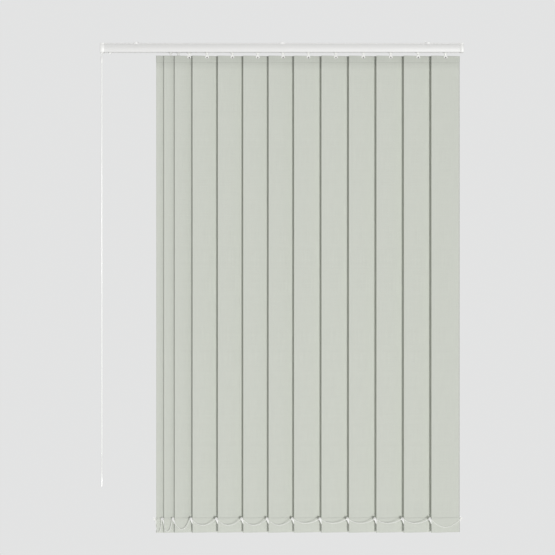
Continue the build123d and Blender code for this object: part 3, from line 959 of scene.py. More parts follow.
# ---------------------------------------------------------------- headrail
@dataclass
class Headrail:
    """The slotted rail, its end caps, ceiling clips and stop."""

    layout: Layout
    coat: bpy.types.Material
    cap: bpy.types.Material
    clip: bpy.types.Material
    stop: bpy.types.Material
    recess: float = 3.0 * MM
    web: float = 1.6 * MM
    floor: float = 1.4 * MM
    wall: float = 2.0 * MM
    lip_inset: float = 1.0 * MM
    lip_width: float = 3.4 * MM
    lip_height: float = 2.0 * MM
    groove_depth: float = 1.2 * MM
    groove_height: float = 1.3 * MM
    side_bow: float = 0.8 * MM
    low_inset: float = 0.6 * MM
    low_corner: float = 1.5 * MM
    slot_half: float = 8.0 * MM
    guide_width: float = 1.2 * MM
    guide_height: float = 2.0 * MM
    belly: float = 0.42
    arc_steps: int = 14
    corner_steps: int = 6
    edge_round: float = 0.18 * MM
    cap_soft: float = 0.3 * MM
    clip_soft: float = 0.15 * MM

    def half_section(self) -> list[Point]:
        """Draws the half section at y above 0.

        Returns:
            The outline's y and z.
        """
        low, high = self.layout.rail_low, self.layout.rail_high
        side, top, bottom = high.y, high.z, low.z
        lip_out = side - self.lip_inset
        ridge = lip_out - self.lip_width
        groove_top = top - self.lip_height
        groove_low = groove_top - self.groove_height
        face_top = (side - self.side_bow, groove_low)
        face_low = (side - self.low_inset, bottom + self.low_corner)
        corner = (side - self.low_inset - self.low_corner / 3, bottom + self.low_corner * 0.27)
        foot = (side - self.low_inset - self.low_corner * 1.07, bottom)
        floor = bottom + self.floor
        points = [
            (0.0, top - self.recess),
            (ridge, top - self.recess),
            (ridge, top),
            (lip_out, top),
            (lip_out, groove_top),
            (lip_out - self.groove_depth, groove_top),
            (lip_out - self.groove_depth, groove_low),
            face_top,
        ]
        points += arc(face_top, (side, bottom + (top - bottom) * self.belly), face_low, self.arc_steps)
        points += arc(face_low, corner, foot, self.corner_steps)
        points += [
            (self.slot_half, bottom),
            (self.slot_half, floor + self.guide_height),
            (self.slot_half + self.guide_width, floor + self.guide_height),
            (self.slot_half + self.guide_width, floor),
            (side - self.wall, floor),
            (side - self.wall, top - self.recess - self.web),
            (0.0, top - self.recess - self.web),
        ]
        return points

    def rail(self) -> bpy.types.Object:
        """Builds the extruded rail.

        Returns:
            The rail.
        """
        low, high = self.layout.rail_low, self.layout.rail_high
        bm = bmesh.new()
        half = bm.faces.new([bm.verts.new((low.x, y, z)) for y, z in self.half_section()])
        bmesh.ops.mirror(bm, geom=[*half.verts, *half.edges, half], axis="Y", merge_dist=MIDDLE_BAND)
        extruded(bm, bm.faces[:], (high.x - low.x, 0.0, 0.0))
        inner = [face for face in bm.faces if all(abs(v.co.y) < MIDDLE_BAND for v in face.verts)]
        bmesh.ops.delete(bm, geom=inner, context="FACES")
        outward(bm)
        sharp = [edge for edge in bm.edges if edge.calc_face_angle(0.0) > SHARP_ANGLE]
        along = [edge for edge in sharp if edge.verts[0].co.x != edge.verts[1].co.x]
        round_edges(bm, along, self.edge_round)
        return make_piece("rail_profile", bm, [self.coat])

    def build(self) -> None:
        """Builds and dresses the rail and what is fixed to it."""
        rail = self.rail()
        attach(rail, "root")
        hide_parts("headrail")
        refined("control_end_cap", "control_cap", "root", self.cap, self.cap_soft)
        refined("far_end_cap", "far_cap", "root", self.cap, self.cap_soft)
        refined("mounting_brackets", "ceiling_clips", "root", self.clip, self.clip_soft)
        refined("rail_stop", "stop_clip", "root", self.stop, self.clip_soft)


# ---------------------------------------------------------------- wand
@dataclass
class Wand:
    """The geared stem under the control cap, its hook and the slim wand."""

    link: bpy.types.Material
    rod: bpy.types.Material
    round_steps: int = 32
    tip_round: float = 1.2 * MM
    grip_length: float = 90 * MM
    grip_pitch: float = 4.0 * MM
    grip_width: float = 0.8 * MM
    grip_groove: float = 0.12 * MM
    grip_rings: int = 3
    stem_soft: float = 0.12 * MM
    link_soft: float = 0.15 * MM

    def rod_profile(self, low: Vector, high: Vector) -> list[Point]:
        """Radius and height of the wand's outline, from its top to its tip.

        Args:
            low: the lowest corner of the wand's box.
            high: the highest corner.

        Returns:
            The outline's points.
        """
        radius = (high.x - low.x) / 2
        bottom = radius - self.grip_groove
        points = [(0.0, high.z), (radius, high.z)]
        for ring in reversed(range(self.grip_rings)):
            z = low.z + self.grip_length + ring * self.grip_pitch
            points += [(radius, z), (bottom, z - self.grip_width / 2), (radius, z - self.grip_width)]
        tip = (radius - self.tip_round, low.z + self.tip_round)
        points += round_arc(tip, self.tip_round, 0.0, -90.0, 6)
        return [*points, (0.0, low.z)]

    def build(self) -> None:
        """Builds and dresses the wand's pieces."""
        refined("wand_stem", "geared_stem", "wand_stem", self.link, self.stem_soft)
        refined("wand_hook", "wand_link", "wand", self.link, self.link_soft)
        low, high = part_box("wand")
        bm = bmesh.new()
        centre = ((low.x + high.x) / 2, (low.y + high.y) / 2, 0.0)
        turned(bm, self.rod_profile(low, high), centre, "Z", self.round_steps)
        outward(bm)
        wand = make_piece("wand_rod", bm, [self.rod])
        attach(wand, "wand")
        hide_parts("wand")


# ---------------------------------------------------------------- slats
@dataclass
class Hook:
    """The hook under a carrier: a flared cup, a neck and two legs that hold the hanger's eye."""

    material: bpy.types.Material
    cup_top: float
    eye: float
    slat_top: float
    flare_radius: float = 6.0 * MM
    flare_height: float = 5.3 * MM
    flare_rim: float = 1.0 * MM
    neck_radius: float = 2.0 * MM
    neck_rise: float = 0.8 * MM
    socket_radius: float = 2.53 * MM
    socket_depth: float = 3.05 * MM
    eye_radius: float = 2.6 * MM
    eye_wall: float = 0.8 * MM
    leg: float = 3.2 * MM
    foot: float = 1.1 * MM
    window: float = 4.6 * MM
    window_turn: float = 24.0
    plate_in: float = 1.4 * MM
    plate_out: float = 2.4 * MM
    boss_end: float = 0.05 * MM
    clearance: float = 0.3 * MM
    soft: float = 0.22 * MM
    rim_soft: float = 0.2 * MM
    sunk: float = 0.98
    neck_share: float = 0.9
    round_steps: int = 32

    def legs(self) -> list[Point]:
        """Draws half of the legs at x above 0, with half of the drop-shaped window.

        Returns:
            The outline's x and z.
        """
        neck_z = self.cup_top - self.flare_height + self.neck_rise
        boss = self.eye_radius + self.eye_wall
        leg_x = self.eye_radius + self.leg
        foot_z = self.eye - self.foot
        meet = -math.degrees(math.asin(self.foot / boss))
        points = [(0.0, neck_z), (self.neck_radius, neck_z), (leg_x, self.eye + self.eye_wall)]
        points += [(leg_x - self.eye_wall, foot_z)]
        points += round_arc((0.0, self.eye), boss, meet, -90.0, 7)
        points += round_arc((0.0, self.eye), self.eye_radius, -90.0, self.window_turn, 10)
        points += [(0.0, self.eye + self.window)]
        return points

    def build(self, number: int, place: Matrix) -> bpy.types.Object:
        """Builds one hook.

        Args:
            number: the slat's number.
            place: the slat's place.

        Returns:
            The hook.
        """
        bm = bmesh.new()
        plate(bm, self.legs(), -self.plate_out, self.plate_out - self.plate_in)
        mirrored(bm)
        neck_top = self.cup_top - self.flare_height + self.neck_rise
        neck_low = self.slat_top + self.clearance
        side = self.neck_radius * self.sunk
        front = self.plate_out * self.sunk
        block = [(-side, neck_low), (side, neck_low), (side, neck_top), (-side, neck_top)]
        plate(bm, block, -front, front + self.neck_radius * self.neck_share)
        boss = self.eye_radius + self.eye_wall
        root = -self.plate_in - self.rim_soft
        ring = [
            (self.eye_radius, root),
            (boss, root),
            (boss, self.boss_end),
            (self.eye_radius, self.boss_end),
        ]
        turned(bm, ring, (0.0, 0.0, self.eye), "Y", self.round_steps)
        outward(bm)
        soften(bm, self.soft)
        cup = [
            (0.0, self.cup_top - self.socket_depth),
            (self.socket_radius, self.cup_top - self.socket_depth),
            (self.socket_radius, self.cup_top),
            (self.flare_radius - self.rim_soft, self.cup_top),
            (self.flare_radius, self.cup_top - self.rim_soft),
            (self.flare_radius - self.flare_rim * 0.4, self.cup_top - self.flare_rim),
            (self.neck_radius, self.cup_top - self.flare_height),
            (0.0, self.cup_top - self.flare_height),
        ]
        turned(bm, cup, (0.0, 0.0, 0.0), "Z", self.round_steps)
        outward(bm)
        return make_piece(f"hook_{number:02d}", bm, [self.material], place)


@dataclass
class Hanger:
    """The plastic strip in a slat's top pocket, dark, with a disc in its eye: painted shadow that shows
    through the hook's eye hole.
    """

    material: bpy.types.Material
    top: float
    eye: float
    length: float = 84.0 * MM
    height: float = 14.0 * MM
    thickness: float = 1.2 * MM
    corner: float = 2.0 * MM
    eye_radius: float = 3.48 * MM
    eye_floor: float = 0.45 * MM
    floor_inset: float = 0.02 * MM
    floor_overlap: float = 1.02
    soft: float = 0.15 * MM
    round_steps: int = 28

    def build(self, number: int, place: Matrix) -> bpy.types.Object:
        """Builds one hanger.

        Args:
            number: the slat's number.
            place: the slat's place.

        Returns:
            The hanger.
        """
        half = self.length / 2
        low = self.top - self.height
        outline = [(0.0, self.top), (half - self.corner, self.top)]
        outline += round_arc((half - self.corner, self.top - self.corner), self.corner, 90.0, 0.0, 4)
        outline += round_arc((half - self.corner, low + self.corner), self.corner, 0.0, -90.0, 4)
        outline += [(0.0, low)]
        outline += round_arc((0.0, self.eye), self.eye_radius, -90.0, 90.0, 14)
        bm = bmesh.new()
        plate(bm, outline, -self.thickness / 2, self.thickness)
        bmesh.ops.remove_doubles(bm, verts=bm.verts[:], dist=SAME_PLACE)
        mirrored(bm)
        outward(bm)
        soften(bm, self.soft)
        # painted shadow: this dark disc fills the eye, so the hole through the hook reads as shade
        front = self.thickness / 2 - self.eye_floor
        back = self.thickness / 2 - self.floor_inset
        rim = self.eye_radius * self.floor_overlap
        eye_shade_disc = [(0.0, front), (rim, front), (rim, back), (0.0, back)]
        turned(bm, eye_shade_disc, (0.0, 0.0, self.eye), "Y", self.round_steps)
        outward(bm)
        return make_piece(f"hanger_{number:02d}", bm, [self.material], place)


@dataclass
class Weight:
    """The plate in a slat's bottom pocket, with a ring at each end for the chains."""

    material: bpy.types.Material
    bottom: float
    ring_reach: float
    slat_width: float
    length: float = 84.0 * MM
    height: float = 38.0 * MM
    thickness: float = 2.0 * MM
    corner: float = 3.0 * MM
    ring_radius: float = 4.25 * MM
    hole_radius: float = 1.2 * MM
    ring_rise: float = 1.2 * MM
    leg_top: float = 10.0 * MM
    leg_width: float = 3.4 * MM
    leg_root: float = 4.0 * MM
    leg_step: float = 0.8 * MM
    leg_share: float = 0.44
    ring_edge: float = 0.4 * MM
    soft: float = 0.3 * MM
    round_steps: int = 28

    @property
    def ring_z(self) -> float:
        """Height of the rings' middles."""
        return self.bottom + self.height + self.ring_rise

    def build(self, number: int, place: Matrix) -> bpy.types.Object:
        """Builds one weight.

        Args:
            number: the slat's number.
            place: the slat's place.

        Returns:
            The weight.
        """
        bm = bmesh.new()
        middle = self.bottom + self.height / 2
        outline = [(x, z + middle) for x, z in rounded_box(self.length, self.height, self.corner)]
        plate(bm, outline, -self.thickness / 2, self.thickness)
        leg_foot = self.bottom + self.height - self.leg_top
        root = self.length / 2 - self.leg_root
        thin = self.thickness * self.leg_share
        near, far = 0.3 * self.ring_radius, 0.6 * self.ring_radius
        leg = [
            (root, leg_foot - self.leg_width),
            (root, leg_foot),
            (self.ring_reach - far, self.ring_z - near),
            (self.ring_reach + near, self.ring_z - far),
            (self.slat_width / 2 + self.leg_step, leg_foot - self.leg_width),
        ]
        for side in (-1, 1):
            plate(bm, [(side * x, z) for x, z in leg], -thin, 2 * thin)
        outward(bm)
        soften(bm, self.soft)
        half, edge = self.thickness / 2, self.ring_edge
        hole, rim = self.hole_radius, self.ring_radius
        section = [(hole, edge - half), (hole + edge, -half), (rim - edge, -half), (rim, edge - half)]
        section += [(rim, half - edge), (rim - edge, half), (hole + edge, half), (hole, half - edge)]
        for side in (-1, 1):
            turned(bm, section, (side * self.ring_reach, 0.0, self.ring_z), "Y", self.round_steps)
        outward(bm)
        return make_piece(f"weight_{number:02d}", bm, [self.material], place)


@dataclass(frozen=True)
class ClothCut:
    """How a slat's cloth is cut, and folded over the hanger above and round the weight below."""

    top: float
    bottom: float
    eye: float
    width: float = 89.0 * MM
    thickness: float = 0.5 * MM
    top_half: float = 0.95 * MM
    low_half: float = 1.35 * MM
    top_pocket: float = 15.1 * MM
    low_pocket: float = 39.1 * MM
    taper: float = 5.0 * MM
    weld_share: float = 0.8
    flap_lap: float = 0.55 * MM
    flap_end: float = 5.5 * MM
    rows: int = 36
    fold_steps: int = 8
    patch: tuple[float, ...] = (-6.0 * MM, -3.0 * MM, 0.0, 3.0 * MM, 6.0 * MM)
    outer_shares: tuple[float, ...] = (0.24, 0.42, 0.6, 0.8, 0.93, 1.0)

    def columns(self) -> list[float]:
        """Places of the mesh's columns across the cloth."""
        outer = [self.width / 2 * share for share in self.outer_shares]
        return [-x for x in reversed(outer)] + list(self.patch) + outer

    def eye_rows(self) -> list[float]:
        """Places of the mesh's rows round the hook's eye, downwards."""
        step = (self.top - self.thickness / 2 - self.top_half - self.eye) / 2
        return [self.eye + step * turn for turn in (2, 1, 0, -1, -2)]

    @property
    def weld_drop(self) -> float:
        """How far from a pocket its flap is welded down."""
        return self.taper * self.weld_share

    def eased(self, start: Point, end: Point, steps: int = 5) -> list[Point]:
        """Points of a soft S from one level to another.

        Args:
            start: the first y and z.
            end: the last y and z.
            steps: the parts of the curve.

        Returns:
            The points after start, up to and with end.
        """
        points = []
        for step in range(1, steps + 1):
            t = step / steps
            ease = t * t * (3 - 2 * t)
            points.append((start[0] + (end[0] - start[0]) * ease, start[1] + (end[1] - start[1]) * t))
        return points

    def profile(self) -> list[Point]:
        """Draws the cloth's middle line from the end of the top flap to the end of the bottom one.

        Returns:
            The line's y and z.
        """
        half = self.thickness / 2
        top, bottom = self.top - half, self.bottom + half
        fold_top, fold_low = top - self.top_half, bottom + self.low_half
        high, low = self.top - self.top_pocket, self.bottom + self.low_pocket
        points = [(self.flap_lap, high - self.flap_end)]
        points += self.eased((self.flap_lap, high - self.weld_drop), (self.top_half, high), 4)
        points += round_arc((0.0, fold_top), self.top_half, 0.0, 180.0, self.fold_steps)
        points += [(-self.top_half, z) for z in self.eye_rows()[1:]]
        points += [(-self.top_half, high)]
        points += self.eased((-self.top_half, high), (0.0, high - self.taper))
        span = (high - self.taper) - (low + self.taper)
        points += [(0.0, high - self.taper - span * row / self.rows) for row in range(1, self.rows)]
        points += [(0.0, low + self.taper)]
        points += self.eased((0.0, low + self.taper), (-self.low_half, low))
        points += round_arc((0.0, fold_low), self.low_half, 180.0, 360.0, self.fold_steps)
        points += self.eased((self.low_half, low), (self.flap_lap, low + self.weld_drop), 4)
        points += [(self.flap_lap, low + self.flap_end)]
        return points

    def lengths(self) -> list[float]:
        """Measures along the cloth.

        Returns:
            The distance of each profile point from the first.
        """
        profile, total, found = self.profile(), 0.0, [0.0]
        for a, b in zip(profile, profile[1:]):
            total += math.dist(a, b)
            found.append(total)
        return found

    @property
    def flat_length(self) -> float:
        """Length that the strip is cut to."""
        return self.lengths()[-1]

    @property
    def welds(self) -> tuple[float, ...]:
        """Finds the two weld lines on the cloth's room side.

        Returns:
            Their distances along the cloth.
        """
        front = [(length, z) for length, (y, z) in zip(self.lengths(), self.profile()) if y <= 0.0]
        goals = (
            self.top - self.top_pocket - self.weld_drop,
            self.bottom + self.low_pocket + self.weld_drop,
        )
        return tuple(min(front, key=lambda item: abs(item[1] - goal))[0] for goal in goals)


@dataclass
class Cloth:
    """One slat's cloth: a strip folded and welded at both ends, as pockets for hanger and weight."""

    faces: bpy.types.Material
    edges: bpy.types.Material
    cut: ClothCut
    hole_radius: float = 3.5 * MM
    bow: float = 0.9 * MM
    cup_range: float = 0.7
    sway_range: float = 0.5
    sway_turn: float = 5.0
    still_share: float = 0.4  # share of the half width, squared, that the cupping leaves in place

    def sheet(self) -> Mesh:
        """Builds the cloth's middle surface, with its flat map and the hole for the hook.

        Returns:
            The mesh, in the slat's own axes.
        """
        bm = bmesh.new()
        along = bm.verts.layers.float.new("along")
        columns, profile = self.cut.columns(), self.cut.profile()
        row = []
        for (y, z), length in zip(profile, self.cut.lengths()):
            vert = bm.verts.new((columns[0], y, z))
            vert[along] = length
            row.append(vert)
        line = [bm.edges.new(pair) for pair in zip(row, row[1:])]
        for here, there in zip(columns, columns[1:]):
            line = pulled(bm, line, (there - here, 0.0, 0.0))
        self.open_eye(bm, along)
        flat = bm.loops.layers.uv.new("flat")
        for face in bm.faces:
            for loop in face.loops:
                loop[flat].uv = (loop.vert.co.x + self.cut.width / 2, loop.vert[along])
        return bm

    def open_eye(self, bm: Mesh, along: bmesh.types.BMLayerItem) -> None:
        """Cuts the round hole that the hook's boss goes through, in the room side alone.

        Args:
            bm: the flat sheet.
            along: its layer of distances along the cloth.
        """
        cut, rows = self.cut, self.cut.eye_rows()
        level = -cut.top_half + 0.01 * MM
        inside = []
        for face in bm.faces:
            x, y, z = face.calc_center_median()
            if abs(x) < cut.patch[-1] and rows[-1] < z < rows[0] and y < level:
                inside.append(face)
        rim = [e for f in inside for e in f.edges if sum(g in inside for g in e.link_faces) == 1]
        bmesh.ops.delete(bm, geom=inside, context="FACES")
        grown = bmesh.ops.extrude_edge_only(bm, edges=rim)["geom"]
        for vert in (item for item in grown if isinstance(item, bmesh.types.BMVert)):
            arm = Vector((vert.co.x, vert.co.z - cut.eye)).normalized() * self.hole_radius
            vert[along] += vert.co.z - (cut.eye + arm.y)
            vert.co.x, vert.co.z = arm.x, cut.eye + arm.y

    def build(self, number: int, place: Matrix) -> bpy.types.Object:
        """Builds one slat's cloth.

        Args:
            number: the slat's number.
            place: the slat's place.

        Returns:
            The cloth.
        """
        bm, cut = self.sheet(), self.cut
        luck = random.Random(number)
        cup = luck.uniform(-self.cup_range, self.cup_range)
        sway = luck.uniform(-self.sway_range, self.sway_range)
        phase = luck.uniform(0.0, math.tau)
        top = cut.top - cut.top_pocket - cut.taper
        bottom = cut.bottom + cut.low_pocket + cut.taper
        for vert in bm.verts:
            share = min(1.0, max(0.0, (top - vert.co.z) / (top - bottom)))
            across = vert.co.x / (cut.width / 2)
            free = math.sin(math.pi * share)
            cupped = cup * (across ** 2 - self.still_share)
            swayed = sway * math.sin(phase + self.sway_turn * share) * across
            vert.co.y += self.bow * free * (cupped + swayed)
        cloth = make_piece(f"slat_cloth_{number:02d}", bm, [self.faces, self.edges], place, CLOTH_ANGLE)
        thick = cloth.modifiers.new("thickness", "SOLIDIFY")
        thick.thickness = cut.thickness
        thick.offset = 0.0
        thick.use_rim = True
        thick.material_offset_rim = 1
        return cloth


@dataclass
class SlatSet:
    """Every slat with its hook, stem, hanger and weight."""

    layout: Layout
    cut: ClothCut
    cloth_faces: bpy.types.Material
    cloth_edges: bpy.types.Material
    plastic: bpy.types.Material
    smoke: bpy.types.Material
    gear: bpy.types.Material
    cup_gap: float = 0.3 * MM
    hanger_drop: float = 0.8 * MM
    weight_rise: float = 0.8 * MM
    stem_radius: float = 2.5 * MM
    stem_steps: int = 24
    pinion_radius: float = 4.1 * MM
    pinion_height: float = 6.84 * MM
    pinion_teeth: int = 14
    tooth_root: float = 0.86
    tooth_shares: tuple[float, ...] = (0.0, 0.18, 0.5, 0.68)
    rod_drop: float = 12.0 * MM
    stem_gap: float = 0.05 * MM

    def __post_init__(self) -> None:
        """Works out the shared heights and makes the builders."""
        top, eye = self.layout.slat_top, self.layout.eye
        self.cup_top = self.layout.rail_low.z - self.cup_gap
        self.rod_z = self.layout.rail_high.z - self.rod_drop
        self.hook = Hook(self.plastic, self.cup_top, eye, top)
        self.hanger = Hanger(self.smoke, top - self.hanger_drop, eye)
        self.cloth = Cloth(self.cloth_faces, self.cloth_edges, self.cut)
        weight_low = self.layout.slat_low + self.weight_rise
        self.weight = Weight(self.plastic, weight_low, self.layout.ring_reach, self.cut.width)

    def stem(self, number: int, place: Matrix) -> bpy.types.Object:
        """Builds the toothed stem between a hook and its carrier.

        Args:
            number: the slat's number.
            place: the slat's place.

        Returns:
            The stem.
        """
        bm = bmesh.new()
        low = self.cup_top - self.hook.socket_depth + self.stem_gap
        high = self.rod_z + self.pinion_height / 2
        shaft = [(0.0, low), (self.stem_radius, low), (self.stem_radius, high), (0.0, high)]
        turned(bm, shaft, (0.0, 0.0, 0.0), "Z", self.stem_steps)
        root, tip = self.pinion_radius * self.tooth_root, self.pinion_radius
        z = self.rod_z - self.pinion_height / 2
        teeth = []
        for tooth in range(self.pinion_teeth):
            for share, reach in zip(self.tooth_shares, (root, tip, tip, root)):
                angle = math.tau * (tooth + share) / self.pinion_teeth
                teeth.append(bm.verts.new((reach * math.cos(angle), reach * math.sin(angle), z)))
        extruded(bm, [bm.faces.new(teeth)], (0.0, 0.0, self.pinion_height))
        outward(bm)
        return make_piece(f"pinion_stem_{number:02d}", bm, [self.gear], place)

    def build(self) -> None:
        """Builds and dresses every slat."""
        size = (self.cut.width, self.cut.flat_length)
        for number in self.layout.stems:
            body = f"slat_{number:02d}"
            place = self.layout.slat_place(number)
            cloth = self.cloth.build(number, place)
            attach(cloth, body)
            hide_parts(body)
            for piece, slot in (
                (self.hanger.build(number, place), Slot.CARRIER),
                (self.weight.build(number, place), Slot.CARRIER),
                (self.hook.build(number, place), Slot.CARRIER),
                (self.stem(number, place), Slot.GEAR),
            ):
                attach(piece, body)
        LOG.info("each slat is cut to %.1f by %.1f mm", size[0] / MM, size[1] / MM)


# ---------------------------------------------------------------- bead chains
@dataclass
class BeadChains:
    """The two chains that tie the weights together, in lengths from ring to ring."""

    layout: Layout
    material: bpy.types.Material
    ring_z: float
    ring_radius: float
    plate_half: float
    bead_radius: float = 1.25 * MM
    bead_pitch: float = 4.2 * MM
    bead_steps: tuple[int, int] = (12, 8)
    thread_radius: float = 0.4 * MM
    thread_steps: int = 6
    clear_gap: float = 0.3 * MM
    line_radius: float = 1.2 * MM
    start_gap: float = 1.8 * MM
    segment: float = 84.0 * MM
    stack_pitch: float = 20.0 * MM
    lead_lengths: int = 3
    loop_slack: float = 15.0 * MM
    loop_front: float = 3.1 * MM
    link_steps: int = 40
    halvings: int = 60
    steepest: float = 300.0  # largest half span over chain parameter that sinh can take

    @property
    def line_y(self) -> float:
        """Works out how far in front of the hook stems the chains run.

        Returns:
            The distance along Y.
        """
        tilt, out = self.layout.tilt, self.layout.ring_reach + self.ring_radius
        ring = out * math.sin(tilt) + self.plate_half * math.cos(tilt)
        return ring + self.clear_gap + self.line_radius

    def catenary(self, span: float, length: float) -> list[Point]:
        """The line of a chain that hangs between two points at one height.

        Args:
            span: the distance between them.
            length: the chain's length.

        Returns:
            Distance along the span, and height below the ends.
        """
        low, high = span * 0.05, span * 50
        for _ in range(self.halvings):
            middle = (low + high) / 2
            steepness = span / (2 * middle)
            if steepness > self.steepest or 2 * middle * math.sinh(steepness) > length:
                low = middle
            else:
                high = middle
        lift = middle * math.cosh(span / (2 * middle))
        points = []
        for step in range(self.link_steps + 1):
            x = span * step / self.link_steps
            points.append((x, middle * math.cosh((x - span / 2) / middle) - lift))
        return points

    def length_mesh(self, start: Vector, end: Vector, length: float) -> Mesh:
        """Hangs beads on their thread from start to end.

        Args:
            start: the first end.
            end: the last end.
            length: the chain's length between them.

        Returns:
            The mesh.
        """
        line = [start + Vector((x, 0.0, z)) for x, z in self.catenary(end.x - start.x, length)]
        bm = bmesh.new()
        self.thread(bm, line)
        count = round(length / self.bead_pitch)
        across, up = self.bead_steps
        for bead in range(count + 1):
            place = Matrix.Translation(self.walk(line, length * bead / count))
            bmesh.ops.create_uvsphere(
                bm, u_segments=across, v_segments=up, radius=self.bead_radius, matrix=place
            )
        return bm

    def thread(self, bm: Mesh, line: Sequence[Vector]) -> None:
        """Adds the thin link between the beads.

        Args:
            bm: the mesh to add to.
            line: the points that it follows.
        """
        turn = (line[1] - line[0]).to_track_quat("Z", "Y").to_matrix().to_4x4()
        bmesh.ops.create_circle(
            bm, cap_ends=True, segments=self.thread_steps, radius=self.thread_radius,
            matrix=Matrix.Translation(line[0]) @ turn,
        )
        ring = bm.edges[:]
        for here, there in zip(line, line[1:]):
            ring = pulled(bm, ring, there - here)
        bmesh.ops.holes_fill(bm, edges=ring, sides=0)
        outward(bm)

    def walk(self, line: Sequence[Vector], distance: float) -> Vector:
        """The point at a distance along a line.

        Args:
            line: its points.
            distance: how far from the first one.

        Returns:
            The point.
        """
        for a, b in zip(line, line[1:]):
            step = (b - a).length
            if distance <= step:
                return a.lerp(b, distance / step)
            distance -= step
        return line[-1].copy()

    def make_length(self, side: Side, number: int) -> bpy.types.Object:
        """Builds the length from one slat's ring to the next slat's.

        Args:
            side: the chain.
            number: the slat on the left.

        Returns:
            The length, with no parent.
        """
        left, right = (self.layout.ring(n, side) for n in (number, number + 1))
        y = side.value * self.line_y
        start = Vector((left.x + self.start_gap, y, self.ring_z))
        end = Vector((right.x - self.start_gap, y, self.ring_z))
        bm = self.length_mesh(start, end, self.segment - 2 * self.start_gap)
        piece = make_piece(f"{side.name.lower()}_beads_{number:02d}", bm, [self.material])
        return piece

    def drawn(self, side: Side, number: int, piece: bpy.types.Object) -> None:
        """Puts a length on its chain's body, with a mesh of its own; the anchor worked out for the
        carriers' stacking is not used.

        Args:
            side: the chain.
            number: the slat on the left of it.
            piece: the length.
        """
        stems, last = self.layout.stems, self.layout.count
        travel = next(joint["range_m"][1] for joint in frame["joints"] if joint["name"] == "draw")
        pitch = stems[number + 1].x - stems[number].x
        keep = self.stack_pitch / pitch
        moved = (stems[last].x - stems[number].x) - (last - number) * self.stack_pitch
        anchor = self.layout.ring(number, side).x - (travel - moved) / (1 - keep)
        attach(piece, side.chain)
        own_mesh(piece)
        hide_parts(side.chain)

    def led(self, side: Side, number: int, piece: bpy.types.Object) -> None:
        """Fixes a length between two of the lead slats where it hangs, with no parent, and hides its node.

        Args:
            side: the chain.
            number: the slat on the left of it.
            piece: the length.
        """
        own = f"{side.chain}_{number:02d}"
        start, end = (self.layout.ring(n, side) for n in (number, number + 1))
        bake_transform(piece)
        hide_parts(own)

    def end_loop(self) -> None:
        """Builds the length that hangs across the end slat, on the slat's own axes."""
        last = self.layout.count
        reach = self.layout.ring_reach
        start = Vector((-reach + self.start_gap, -self.loop_front, self.ring_z))
        end = Vector((reach - self.start_gap, -self.loop_front, self.ring_z))
        bm = self.length_mesh(start, end, 2 * reach + self.loop_slack - 2 * self.start_gap)
        piece = make_piece("end_beads", bm, [self.material], self.layout.slat_place(last))
        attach(piece, f"slat_{last:02d}")
        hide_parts("chain_end_loop")

    def build(self) -> None:
        """Builds both chains and the loop across the end slat."""
        for side in Side:
            for number in range(1, self.layout.count):
                piece = self.make_length(side, number)
                if number <= self.lead_lengths:
                    self.led(side, number, piece)
                else:
                    self.drawn(side, number, piece)
        self.end_loop()


# ---------------------------------------------------------------- carriers and drive
@dataclass
class Drive:
    """The carriers, worms, rod and gear, which keep their own shapes."""

    layout: Layout
    carrier: bpy.types.Material
    gear: bpy.types.Material
    rod: bpy.types.Material

    def dress(self, node: str, material: bpy.types.Material) -> None:
        """Gives a node its finish.

        Args:
            node: the node's name.
            material: the finish.
        """
        mesh = frame["nodes"][node].data
        mesh.materials.clear()
        mesh.materials.append(material)
        LOG.info("%s keeps its own shape", node)

    def build(self) -> None:
        """Dresses every piece of the drive."""
        for number in self.layout.stems:
            self.dress(f"carrier_{number:02d}", self.carrier)
            self.dress(f"worm_{number:02d}", self.gear)
        self.dress("tilt_rod", self.rod)
        self.dress("rod_gear", self.gear)


